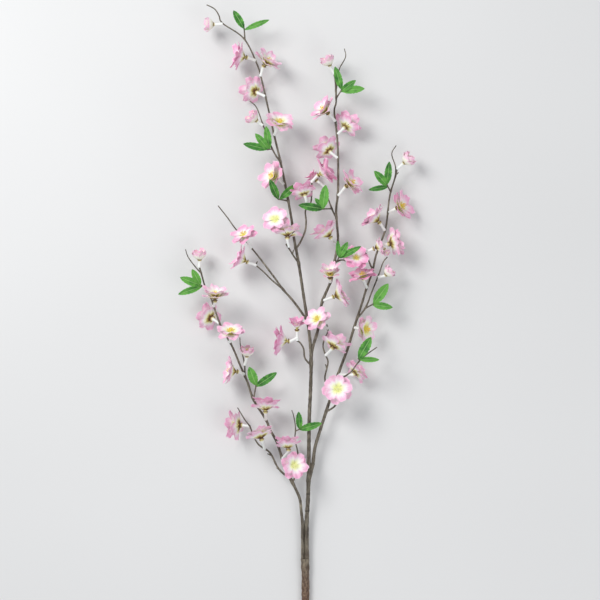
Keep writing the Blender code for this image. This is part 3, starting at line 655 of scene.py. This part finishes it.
def nearest_on(axis, x, y):
    """The axis point, direction and radius nearest to (x, y) seen from above, and whether it is the tip."""
    target = Vector((x, y)) * MM
    best = None
    for (p, radius), (q, other) in zip(axis, axis[1:]):
        along = (q - p).xy
        t = max(0.0, min(1.0, (target - p.xy).dot(along) / along.length_squared))
        distance = (p.lerp(q, t).xy - target).length
        if best is None or distance < best[0] - CLEARLY_NEARER:
            best = (distance, p.lerp(q, t), (q - p).normalized(), radius + (other - radius) * t)
    tip = (best[1] - axis[-1][0]).length < SAME_POINT
    return (*best[1:], tip)


def seat_on_stem(stem, place, top):
    """The point where a peg or leaf stalk on its way to the top meets its stem."""
    centre, tangent, radius, tip = nearest_on(axes[stem], *place)
    along = (top - centre).normalized()
    if tip and along.dot(tangent) > ALONG_THE_TIP:
        return centre + tangent * GAP
    normal = (along - tangent * along.dot(tangent)).normalized()
    return centre + normal * (radius + GAP)


print("pegs and leaf stalks stand off their stem by", GAP / MM, "mm")

# %% [markdown]
# ## Finishing a piece
# A few chores come back for every piece: joining its parts, giving it its finishes, hiding the CAD solid
# that it replaces, and letting it ride on the branch. They are written once.

# %% Piece helpers
SMOOTH_ANGLE = math.radians(50)
made = []


def select_only(*objects):
    deselect()
    for obj in objects:
        obj.select_set(True)
    bpy.context.view_layer.objects.active = objects[0]


def joined(name, parts):
    """One object of all the parts."""
    select_only(*parts)
    if len(parts) > 1:
        bpy.ops.object.join()
    parts[0].name = name
    parts[0].data.name = name
    return parts[0]


def with_finishes(obj, *finishes):
    obj.data.materials.clear()
    for finish in finishes:
        obj.data.materials.append(finish)
    return obj


def tinted(obj, tint, layer="tint"):
    """Stores a number on every vertex, which the finish reads; tint is a number or one for each vertex."""
    numbers = obj.data.attributes.new(layer, "FLOAT", "POINT")
    count = len(obj.data.vertices)
    numbers.data.foreach_set("value", np.broadcast_to(np.asarray(tint, np.float32), count).copy())
    return obj


def copy_of(master, name):
    """A copy with a mesh of its own."""
    twin = bpy.data.objects.new(name, master.data.copy())
    bpy.context.scene.collection.objects.link(twin)
    return twin


def modified(obj, kind, **settings):
    """Adds a modifier and applies it."""
    select_only(obj)
    modifier = obj.modifiers.new(kind.lower(), kind)
    for name, value in settings.items():
        setattr(modifier, name, value)
    bpy.ops.object.modifier_apply(modifier=modifier.name)
    return obj


def hand_over(obj, node):
    """The finished piece stands for the CAD node and moves with the branch."""
    select_only(obj)
    bpy.ops.object.shade_smooth_by_angle(angle=SMOOTH_ANGLE)
    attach(obj, "root")
    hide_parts(node)
    made.append(obj)


print("surfaces look smooth up to an edge of", round(math.degrees(SMOOTH_ANGLE)), "degrees")


# %% Tube
def tube(name, axis, rings, tint=0.5):
    """A closed tube along the axis, its width read from the radii; tint is a number or one for each point."""
    curve = bpy.data.curves.new(name, "CURVE")
    curve.dimensions = "3D"
    curve.bevel_depth = 1.0
    curve.bevel_resolution = rings
    curve.use_fill_caps = True
    spline = curve.splines.new("POLY")
    spline.points.add(len(axis) - 1)
    for point, (place, radius) in zip(spline.points, axis):
        point.co = (*place, 1.0)
        point.radius = radius
    obj = bpy.data.objects.new(name, curve)
    bpy.context.scene.collection.objects.link(obj)
    select_only(obj)
    bpy.ops.object.convert(target="MESH")
    bpy.ops.object.mode_set(mode="EDIT")
    bpy.ops.mesh.select_all(action="SELECT")
    bpy.ops.mesh.remove_doubles(threshold=SAME_POINT)
    bpy.ops.mesh.normals_make_consistent(inside=False)
    bpy.ops.object.mode_set(mode="OBJECT")
    if not isinstance(tint, (int, float)):
        points = range(len(axis))
        nearest = [min(points, key=lambda i: (axis[i][0] - v.co).length_squared) for v in obj.data.vertices]
        tint = [tint[i] for i in nearest]
    return tinted(obj, tint)


print("a tube's vertices are merged when nearer than", SAME_POINT / MM, "mm")


# %% [markdown]
# ## Stems
# Real coated wire isn't even: it swells a little where a peg or a twig leaves it, and the coat has small
# lumps. So each stem is drawn as a tube with a ring every few millimetres, whose radius is the CAD radius
# times a small seeded change, plus a knuckle at each joint.

# %% Lumps and knuckles
KNUCKLE = 0.28
KNUCKLE_REACH = 4.0 * MM
LUMP = 0.07
RING_SWELL = 0.10
RING_REACH = 3.0
FAR = 1.0

chance = random.Random(11)
feet = {}
for stem, place in [row[2:4] for row in BLOOMS if row[2] != "peg"] + [row[1:3] for row in LEAVES]:
    feet.setdefault(stem, []).append(nearest_on(axes[stem], *place)[0])
roots = [axis[0][0] for axis in axes.values()]


def lumpy(name, axis):
    """The axis with small lumps, and knuckles where something leaves the stem."""
    joints = feet.get(name, []) + [r for r in roots if (r - axis[0][0]).length > KNUCKLE_REACH]
    lumps = [chance.uniform(-LUMP, LUMP) for _ in axis]
    shaped = []
    for i, (place, radius) in enumerate(axis):
        near = min(((place - joint).length for joint in joints), default=FAR)
        swell = KNUCKLE * math.exp(-((near / KNUCKLE_REACH) ** 2))
        if name == "main":
            from_ring = min(abs(place.y / MM - ring) for ring in RINGS_AT)
            swell += RING_SWELL * max(0.0, 1 - from_ring / RING_REACH)
        even = 0.0 if i in (0, len(axis) - 1) else lumps[i]
        shaped.append((place, radius * (1 + swell + even)))
    return shaped


print("pegs and stalks on the stems:", sum(len(places) for places in feet.values()))

# %% Cut stubs, and a dark tube of painted shade in the gap
STUBS = [
    ((-27, 570), 70), ((25, 393), 110), ((-45, 223), 150), ((-61, 248), 160), ((143, 700), 40),
    ((-87, 548), 60),
]
STUB_LENGTH = 7.0 * MM
STUB_RADII = (1.5 * MM, 0.7 * MM)
STUB_RISE = 15
# The main stem and the left limb leave a narrow gap. A dark coated tube set low in it is painted shade, so
# that the pale floor doesn't show through.
GAP_SHADE_TUBE = [(80, 2.0), (100, 1.5), (120, 1.3), (136, 1.0), (146, 0.6)]
GAP_SHADE_DEPTH = 1.5 * MM

stubs_and_gap_shade = {}
for place, azimuth in STUBS:
    near = {name: nearest_on(axis, *place)[0] for name, axis in axes.items()}
    stem = min(near, key=lambda name: (near[name].xy - Vector(place) * MM).length)
    ends = near[stem], near[stem] + heading(azimuth, STUB_RISE) * STUB_LENGTH
    stubs_and_gap_shade.setdefault(stem, []).append(list(zip(ends, STUB_RADII)))


def beside(y):
    """A point low in the narrow gap between the main stem and the left limb, where a dark coated tube is
    painted shade.
    """
    places = [nearest_on(axes[name], 0, y)[0] for name in ("main", "left")]
    return (places[0] + places[1]) / 2 - Vector((0, 0, GAP_SHADE_DEPTH))


# The painted-shade tube in the gap is drawn along with the main stem's stubs.
stubs_and_gap_shade.setdefault("main", []).append([(beside(y), radius * MM) for y, radius in GAP_SHADE_TUBE])
print("stubs on:", sorted(stubs_and_gap_shade))

# %% Stem pieces
STEM_STEP = 3.5 * MM
THICK_STEM = 2.0

for node, stems in STEMS.items():
    # A stem's extra tubes are its cut stubs and, on the main stem, the dark tube of painted shade in the gap.
    parts = [tube(name + "_stub", stub, 1) for name in stems for stub in stubs_and_gap_shade.get(name, [])]
    for name, (root, tip, points) in stems.items():
        axis = lumpy(name, tapered(root, tip, smooth_route(points, STEM_STEP)))
        parts.append(tube(name, axis, 4 if root > THICK_STEM else 2))
    wood = with_finishes(joined(node + "_coated", parts), stem_coating)
    # The foot lies flat on the table.
    for vertex in wood.data.vertices:
        vertex.co.z = max(vertex.co.z, 0.0)
    hand_over(wood, node)
    print(wood.name, "faces:", len(wood.data.polygons))


# %% [markdown]
# ## One petal
# A petal starts as a flat grid, 2 wide and 1 long. Each row is made as wide as the petal is there. Then
# the columns are shortened towards the sides, which rounds the rim, and at the middle, for a small nick.
# The grid keeps its UV map, so the print will know where it is. This flat petal is modelled once.

# %% Petal master
PETAL_COLUMNS = 12
PETAL_ROWS = 9
PETAL_WIDTHS = [
    (0.0, 1.02), (0.15, 0.98), (0.3, 0.9), (0.5, 0.98), (0.68, 1.08), (0.82, 1.05), (0.93, 0.9), (1.0, 0.68),
]
RIM_DEPTH = 0.28
RIM_ROUNDNESS = 2.2
RIM_NICK = 0.05
NICK_WIDTH = 0.2


def width_at(widths, share):
    """The breadth at this share of the length."""
    places, values = zip(*widths)
    return float(np.interp(share, places, values))


def pick(obj, wanted):
    """In edit mode, selects the vertices whose place passes the test."""
    mesh = bmesh.from_edit_mesh(obj.data)
    for vertex in mesh.verts:
        vertex.select = wanted(vertex.co)
    mesh.select_flush_mode()
    bmesh.update_edit_mesh(obj.data)


def flat_blade(name, columns, rows, widths):
    """A grid with x from -1 to 1 and y from 0 to 1, each row as wide as the list says."""
    deselect()
    bpy.ops.mesh.primitive_grid_add(x_subdivisions=columns, y_subdivisions=rows, size=2.0)
    blade = bpy.context.object
    blade.name = name
    bpy.ops.object.mode_set(mode="EDIT")
    bpy.ops.mesh.select_all(action="SELECT")
    bpy.ops.transform.resize(value=(1, 0.5, 1), center_override=(0, -1, 0))
    bpy.ops.transform.translate(value=(0, 1, 0))
    for row in range(rows + 1):
        y = row / rows
        pick(blade, lambda co: abs(co.y - y) < 0.25 / rows)
        bpy.ops.transform.resize(value=(width_at(widths, y), 1, 1), center_override=(0, 0, 0))
    bpy.ops.object.mode_set(mode="OBJECT")
    return blade


def round_rim(blade, columns):
    """Shortens the side and middle columns; the grid's vertices run row by row, from left to right."""
    for vertex in blade.data.vertices:
        across = abs(2 * (vertex.index % (columns + 1)) / columns - 1)
        nick = RIM_NICK * math.exp(-((across / NICK_WIDTH) ** 2))
        vertex.co.y *= 1 - RIM_DEPTH * across**RIM_ROUNDNESS - nick


petal_master = flat_blade("petal_master", PETAL_COLUMNS, PETAL_ROWS, PETAL_WIDTHS)
round_rim(petal_master, PETAL_COLUMNS)
print("petal master faces:", len(petal_master.data.polygons))

# %% [markdown]
# ## The tuft
# The tuft is some two dozen threads. One thread is a thin tapered cylinder with a small ball for its tip,
# and copies of it lean out all round, the outer ones more and shorter. A low dome closes the middle.

# %% One thread
THREAD_LENGTH = 7.2 * MM
THREAD_RADIUS = 0.2 * MM
THREAD_FOOT = 1.4
TIP_RADIUS = 0.62 * MM
SHAFT_TINT = 0.35
TIP_TINT = 0.9
TIP_FROM = 0.8

deselect()
bpy.ops.mesh.primitive_cylinder_add(
    vertices=5, radius=THREAD_RADIUS, depth=THREAD_LENGTH, location=(0, 0, THREAD_LENGTH / 2)
)
thread = bpy.context.object
bpy.ops.object.transform_apply(location=True)
bpy.ops.object.mode_set(mode="EDIT")
pick(thread, lambda co: co.z < THREAD_LENGTH / 2)
bpy.ops.transform.resize(value=(THREAD_FOOT, THREAD_FOOT, 1), center_override=(0, 0, 0))
bpy.ops.object.mode_set(mode="OBJECT")
deselect()
bpy.ops.mesh.primitive_ico_sphere_add(subdivisions=1, radius=TIP_RADIUS, location=(0, 0, THREAD_LENGTH))
tip_ball = bpy.context.object
bpy.ops.object.transform_apply(location=True)
thread_master = joined("thread_master", [thread, tip_ball])
heights = [v.co.z / THREAD_LENGTH for v in thread_master.data.vertices]
tinted(thread_master, [SHAFT_TINT * h if h < TIP_FROM else TIP_TINT for h in heights])
print("thread faces:", len(thread_master.data.polygons))

# %% Tuft master
THREADS = 22
GOLDEN_TURN = 2.39996
STRAIGHT, LEANING, LEAN_POWER, LEAN_CHANCE = 4, 50, 0.7, 6
LONGEST, SHORTER, LENGTH_CHANCE = 1.06, 0.26, (0.88, 1.1)
ROOT_RING = 1.5
DOME_RADIUS = 2.6 * MM
DOME_TINT = 0.05

chance = random.Random(5)
parts = []
for k in range(THREADS):
    ring = k / (THREADS - 1)
    copy = copy_of(thread_master, f"thread_{k}")
    lean = math.radians(STRAIGHT + LEANING * ring**LEAN_POWER + chance.uniform(-LEAN_CHANCE, LEAN_CHANCE))
    turn = k * GOLDEN_TURN
    length = (LONGEST - SHORTER * ring) * chance.uniform(*LENGTH_CHANCE)
    root = Vector((math.cos(turn), math.sin(turn), 0)) * ROOT_RING * MM * ring
    stand = Matrix.Translation(root) @ Matrix.Rotation(turn, 4, "Z") @ Matrix.Rotation(lean, 4, "Y")
    copy.data.transform(stand @ Matrix.Diagonal((1, 1, length, 1)))
    parts.append(copy)
deselect()
bpy.ops.mesh.primitive_uv_sphere_add(segments=12, ring_count=6, radius=DOME_RADIUS, location=(0, 0, 0))
dome = bpy.context.object
tinted(dome, DOME_TINT)
tuft_master = joined("tuft_master", [*parts, dome])
bpy.data.objects.remove(thread_master)
print("tuft faces:", len(tuft_master.data.polygons))

# %% [markdown]
# ## Laying petals on a bloom
# A petal is bent on an arc as it leaves the hub, from the angle at its base to the angle at its rim. Both
# angles come from the CAD model, so the fine bloom fills the same space as the plain one. Each petal then
# gets waves along its rim, a twist that lets it lap over its neighbour, and a crease at its middle. A curve
# like this has no edit-mode operator, so the vertices of the copy are placed by the formula itself.


# %% Bloom frame
class Bloom:
    """Frame of one bloom: its hub, its axis and the direction of its low side."""

    def __init__(self, hub, face, roll, fold):
        self.hub = hub
        self.axis = face
        down = face * face.z - Vector((0, 0, 1))
        self.u = down.normalized() if down.length > 0.1 else Vector((1, 0, 0))
        self.v = face.cross(self.u)
        self.roll = roll
        self.fold = math.radians(fold)

    def at(self, radius, angle, height):
        """World point at this radius and angle round the axis, this high above the hub."""
        angle += self.roll
        spoke = self.u * math.cos(angle) + self.v * math.sin(angle)
        return self.hub + spoke * radius + self.axis * height

    def folded(self, angle):
        """How much less the petals spread at this angle, most on the low side."""
        return self.fold * ((1 + math.cos(angle + self.roll)) / 2) ** 2

    def matrix(self):
        """Turns a mesh that was modelled round the origin, standing on +Z, to the bloom's place."""
        turn = Matrix((self.u, self.v, self.axis)).transposed().to_4x4()
        return Matrix.Translation(self.hub) @ turn @ Matrix.Rotation(self.roll, 4, "Z")


print("a bloom knows:", [name for name in vars(Bloom) if not name.startswith("__")])

# %% One laid petal
PETALS = 5
SECTOR = 2 * math.pi / PETALS
HUB_SHARE = 0.1
EDGE_LIFT = 0.06
WAVE_TURN = 2.3
RIPPLE_TURN = 7.5
CURL_FROM = 0.75
CURL_GAIN = 8
CREASE = 0.03
CREASE_WIDTH = 0.16
FLOOR_GAP = 0.3 * MM
WAVE_RANGES = (0.03, 0.08), (0, 6.28), (0.028, 0.058), (-0.08, 0.14), (0.0, 0.05)


def lay_petal(bloom, name, reach, spread, start, middle, breadth=1.0):
    """A copy of the flat petal, bent to its place on the bloom, with waves of its own."""
    rise, turn, ripple, curl, twist = (chance.uniform(*low_and_high) for low_and_high in WAVE_RANGES)
    petal = copy_of(petal_master, name)
    base, rim = (math.radians(a) for a in spread)
    bend = rim - base
    length = reach * bend / (math.cos(base) - math.cos(rim))
    for vertex in petal.data.vertices:
        across, share = vertex.co.x, vertex.co.y
        angle = middle + across * breadth * SECTOR / 2
        share = HUB_SHARE + (1 - HUB_SHARE) * share
        root = base - bloom.folded(angle)
        slope = root + bend * share
        radius = length * (math.cos(root) - math.cos(slope)) / bend
        height = length * (math.sin(slope) - math.sin(root)) / bend
        height += EDGE_LIFT * reach * share * across**2
        height += reach * share**2 * rise * math.sin(WAVE_TURN * across + turn)
        height += reach * share**3 * ripple * math.sin(RIPPLE_TURN * across + 2 * turn)
        height += reach * twist * across * share
        height += reach * curl * max(0.0, share - CURL_FROM) ** 2 * CURL_GAIN
        height -= reach * CREASE * math.exp(-((across / CREASE_WIDTH) ** 2)) * share
        place = bloom.at(radius, angle, start + height)
        place.z = max(place.z, FLOOR_GAP)
        vertex.co = place
    return petal


print("one petal covers", round(math.degrees(SECTOR)), "degrees of its layer")

# %% [markdown]
# ## Pegs
# The peg leaves the stem at right angles, bends towards the bloom's axis, and flares at its top into the
# calyx under the petals. A short collar marks where it is pressed on the stem.

# %% Peg
PEG_RADIUS = 2.3 * MM
COLLAR = 1.12 * PEG_RADIUS
CALYX_RADIUS = 4.4 * MM
SUNK = 1.2 * MM
PEG_TINTS = [0.1, 0.2, 0.3, 0.4, 0.55, 0.7, 0.85, 1.0]


def peg(name, seat, bloom, flare):
    """A curved peg from its seat to just under the petals."""
    hub, axis = bloom.hub, bloom.axis
    along = (hub - seat).normalized()
    side = along.lerp(axis, 0.5).normalized()
    route = [
        (seat - along * SUNK, COLLAR),
        (seat + along * 1.0 * MM, COLLAR),
        (seat + along * 1.5 * MM, PEG_RADIUS),
        (seat.lerp(hub, 0.6), PEG_RADIUS * 0.94),
        (hub - along * 0.8 * MM, PEG_RADIUS),
        (hub + side * 0.8 * MM, PEG_RADIUS * 1.25),
        (hub + axis * 2.2 * MM, flare * 0.86),
        (hub + axis * 3.4 * MM, flare),
    ]
    return with_finishes(tube(name, route, 3, PEG_TINTS), peg_plastic)


print("peg across in mm:", 2 * PEG_RADIUS / MM, "calyx:", 2 * CALYX_RADIUS / MM)

# %% [markdown]
# ## Blooms
# Each bloom is laid petal by petal: five below, then five above turned by half a petal, then the tuft.
# Buds have the same petals, bent into a cup that is still half closed. The random numbers for roll, fold
# and spread are drawn in the CAD model's order, so that each bloom turns the same way.

# %% Cloth and tuft of one bloom
CLOTH = 0.28 * MM
PALE_TUFTS = ("bloom_main_6", "bloom_left_8", "bloom_right_1")


def with_tuft(name, bloom, petals, height, width, length):
    """The petals as thick cloth, and a tuft this high above the hub, scaled by width and length."""
    cloth = with_finishes(joined(name + "_petals", petals), petal_back, petal_face)
    modified(cloth, "SOLIDIFY", thickness=CLOTH, offset=0.0, material_offset=1)
    tuft = with_finishes(copy_of(tuft_master, name + "_tuft"), tuft_thread)
    tinted(tuft, name in PALE_TUFTS, "pale")
    size = Matrix.Diagonal((width, width, length, 1))
    tuft.data.transform(bloom.matrix() @ Matrix.Translation((0, 0, height)) @ size)
    return [cloth, tuft]


print("pale tufts in:", len(PALE_TUFTS), "nodes")

# %% Open bloom
SPREADS = {"wide": ((72, 100), (58, 86)), "open": ((62, 92), (46, 72)), "cup": ((50, 76), (32, 56))}
LAYER_SHARES = (1.0, 0.95)
LAYER_HEIGHTS = (3.0 * MM, 6.0 * MM)
SIDEWAYS = 30.0
CUPPED = (20.0, 6.0)
PETAL_SPREAD = 5.0
PETAL_REACH = (0.97, 1.04)
DEEP_PINK = ("bloom_centre_4", "bloom_centre_5", "bloom_centre_11", "bloom_low_1", "bloom_right_6")
BLOOM_TINTS = (0.15, 0.75)
TINT_CHANCE = 0.2
TUFT_HEIGHT = {"wide": 5.6, "open": 6.5, "cup": 5.6}
TUFT_STRETCH = {"wide": 1.15, "open": 1.6, "cup": 1.4}
CUP_TUFT = 0.8
FULL_REACH = 24 * MM


def open_bloom(name, bloom, shape, reach, stretch):
    """Two layers of petals and a tuft; a bloom that looks sideways is a little more cupped."""
    sideways = max(0.0, 1 - abs(math.degrees(math.asin(bloom.axis.z))) / SIDEWAYS)
    petals = []
    deep = 1.0 if name in DEEP_PINK else chance.uniform(*BLOOM_TINTS)
    for layer, spread in enumerate(SPREADS[shape]):
        closer = stretch - CUPPED[layer] * sideways
        for k in range(PETALS):
            middle = SECTOR * (k + 0.5 + 0.5 * layer)
            size = reach * LAYER_SHARES[layer] * chance.uniform(*PETAL_REACH)
            more = chance.uniform(-PETAL_SPREAD, PETAL_SPREAD)
            bent = [angle + closer + more for angle in spread]
            petal = lay_petal(bloom, name + "_petal", size, bent, LAYER_HEIGHTS[layer], middle)
            petals.append(tinted(petal, deep + chance.uniform(-TINT_CHANCE, TINT_CHANCE)))
    scale = CUP_TUFT if shape == "cup" else min(1.0, reach / FULL_REACH)
    return with_tuft(name, bloom, petals, TUFT_HEIGHT[shape] * MM, scale, TUFT_STRETCH[shape] * scale)


print("petals lean from the axis, root to rim:", SPREADS)

# %% Half-open bud
BUD_SPREADS = ((76, 12), (66, 2))
BUD_SHARES = (1.0, 0.86)
BUD_HEIGHTS = (1.5 * MM, 2.4 * MM)
BUD_BREADTH = 1.3
BUD_REACH = (0.95, 1.05)
BUD_TINTS = (0.2, 0.6)
BUD_PALENESS = 0.75
BUD_TUFT_HEIGHT = 0.6
BUD_TUFT_WIDTH = 0.8
BUD_TUFT = 0.9
BUD_FULL_REACH = 14 * MM


def half_open_bud(name, bloom, reach):
    """Two cups of petals, the inner one more closed."""
    petals = []
    for layer, spread in enumerate(BUD_SPREADS):
        for k in range(PETALS):
            middle = SECTOR * (k + 0.5 * layer)
            size = reach * BUD_SHARES[layer] * chance.uniform(*BUD_REACH)
            petal = lay_petal(bloom, name + "_petal", size, spread, BUD_HEIGHTS[layer], middle, BUD_BREADTH)
            petals.append(tinted(tinted(petal, chance.uniform(*BUD_TINTS)), BUD_PALENESS, "pale"))
    scale = min(BUD_TUFT, reach / BUD_FULL_REACH)
    return with_tuft(name, bloom, petals, reach * BUD_TUFT_HEIGHT, scale * BUD_TUFT_WIDTH, scale)


print("bud petals bend inwards by", [root - rim for root, rim in BUD_SPREADS], "degrees")

# %% All blooms and buds
ROLL_SEED = 7
FOLD = 9.0
STRETCH = 4.0
FORK_HEIGHT = 3.5 * MM
BUD_FLARE = 0.3

rolls = random.Random(ROLL_SEED)
chance = random.Random(23)
blooms = {}
last_foot, last_hub = None, None
for node, shape, stem, place, hub, face, reach in BLOOMS:
    hub = Vector(hub) * MM
    if stem == "peg":
        seat = last_foot + (last_hub - last_foot).normalized() * FORK_HEIGHT
    else:
        seat = seat_on_stem(stem, place, hub)
    roll, fold, stretch = rolls.uniform(0, SECTOR), rolls.uniform(0, FOLD), rolls.uniform(-STRETCH, STRETCH)
    bloom = Bloom(hub, heading(*face), roll, fold)
    if shape == "bud":
        parts = half_open_bud(node, bloom, reach * MM)
        flare = min(CALYX_RADIUS, reach * BUD_FLARE * MM)
    else:
        parts = open_bloom(node, bloom, shape, reach * MM, stretch)
        flare = CALYX_RADIUS
    blooms.setdefault(node, []).extend([*parts, peg(node + "_peg", seat, bloom, flare)])
    last_foot, last_hub = seat, hub

for node, parts in blooms.items():
    hand_over(joined(node + "_silk", parts), node)
bpy.data.objects.remove(petal_master)
bpy.data.objects.remove(tuft_master)
print("blooms and buds:", len(blooms), "faces:", sum(len(o.data.polygons) for o in made))

# %% [markdown]
# ## Leaves
# A leaf is modelled like a petal: a flat grid whose rows are given the leaf's width, then laid along the
# line from stalk to tip with an arch, a fold at the midrib and a wave along each edge.

# %% Leaf pieces
LEAF_COLUMNS = 8
LEAF_ROWS = 16
LEAF_WIDTHS = [
    (0.0, 0.10), (0.06, 0.22), (0.15, 0.54), (0.28, 0.84), (0.42, 0.96), (0.55, 0.98), (0.68, 0.90),
    (0.8, 0.74), (0.91, 0.48), (1.0, 0.10),
]
LEAF_ARCH = 0.07
LEAF_CREASE = 0.3
CREASE_FULL = 4
LEAF_WAVE = 0.05
LEAF_WAVE_TURN = 2.2 * math.pi
LEAF_RIPPLE = 0.05
LEAF_RIPPLE_TURN = 26
OTHER_SIDE = 3
LEAF_TEETH = 0.06
LEAF_TEETH_TURN = 44

leaf_master = flat_blade("leaf_master", LEAF_COLUMNS, LEAF_ROWS, LEAF_WIDTHS)


def lay_leaf(name, root, tip, width, phase):
    """A copy of the flat leaf, laid from its root to its tip."""
    leaf = copy_of(leaf_master, name)
    along = tip - root
    side = along.cross(Vector((0, 0, 1))).normalized()
    up = side.cross(along).normalized()
    for vertex in leaf.data.vertices:
        across, share = vertex.co.x, vertex.co.y
        breadth = width / 2 * across
        rim = abs(across) * math.sin(math.pi * share)
        height = LEAF_ARCH * along.length * math.sin(math.pi * share)
        height += LEAF_CREASE * abs(breadth) * min(1.0, CREASE_FULL * share)
        height += LEAF_WAVE * width * across * math.sin(LEAF_WAVE_TURN * share)
        side_phase = phase + (OTHER_SIDE if across > 0 else 0)
        height += LEAF_RIPPLE * width * rim * math.sin(LEAF_RIPPLE_TURN * share + side_phase)
        breadth *= 1 + LEAF_TEETH * math.sin(LEAF_TEETH_TURN * share + phase)
        vertex.co = root + along * share + side * breadth + up * height
    return leaf


print("leaf master faces:", len(leaf_master.data.polygons))

# %% All leaves
LEAF_CLOTH = 0.35 * MM
LEAF_SPACING = 2.2
FIRST_LEAF = 0.7
LEAF_INTO_STALK = 0.9 * MM
PETIOLE_RADIUS = 1.1 * MM
LEAF_TINTS = (0.1, 0.9)

chance = random.Random(31)
for node, stem, place, top, leaves in LEAVES:
    top = Vector(top) * MM
    centre = nearest_on(axes[stem], *place)[0]
    along = (top - centre).normalized()
    seat = seat_on_stem(stem, place, top)
    blades = []
    for k, (tip, width) in enumerate(leaves):
        tip = Vector(tip) * MM
        joint = top + (seat - top).normalized() * (FIRST_LEAF + LEAF_SPACING * k) * MM
        root = joint - (tip - joint).normalized() * LEAF_INTO_STALK
        blade = lay_leaf(f"{node}_blade_{k}", root, tip, width * MM, chance.uniform(0, 6.28))
        blades.append(tinted(blade, chance.uniform(*LEAF_TINTS)))
    cloth = with_finishes(joined(node + "_blades", blades), leaf_cloth)
    modified(cloth, "SOLIDIFY", thickness=LEAF_CLOTH, offset=0.0)
    stalk_route = [
        (seat - along * SUNK, PETIOLE_RADIUS * 1.3), (seat.lerp(top, 0.3), PETIOLE_RADIUS),
        (seat.lerp(top, 0.7), PETIOLE_RADIUS * 0.95), (top, PETIOLE_RADIUS * 1.2),
    ]
    stalk = with_finishes(tube(node + "_stalk", stalk_route, 2), stem_coating)
    hand_over(joined(node + "_cloth", [cloth, stalk]), node)
bpy.data.objects.remove(leaf_master)
print("leaf clusters:", len(LEAVES))

# %% [markdown]
# ## Floor finish and hand-over
# The floor is plain pale grey with a trace of unevenness, so that its shadows read as on paper. The last cell
# counts the pieces and their triangles.

# %% Floor finish
PAPER_STOPS = [(0.3, (0.70, 0.70, 0.69)), (0.7, (0.74, 0.74, 0.73))]
PAPER_ROUGHNESS = 0.9

paper = Finish("floor_paper")
tone = paper.noise(paper.place(), 1.2)
with_finishes(floor, paper.finish(paper.ramp(tone, PAPER_STOPS), PAPER_ROUGHNESS))

# %% Sizes
print("pieces:", len(made), "triangles:", sum(len(p.vertices) - 2 for o in made for p in o.data.polygons))
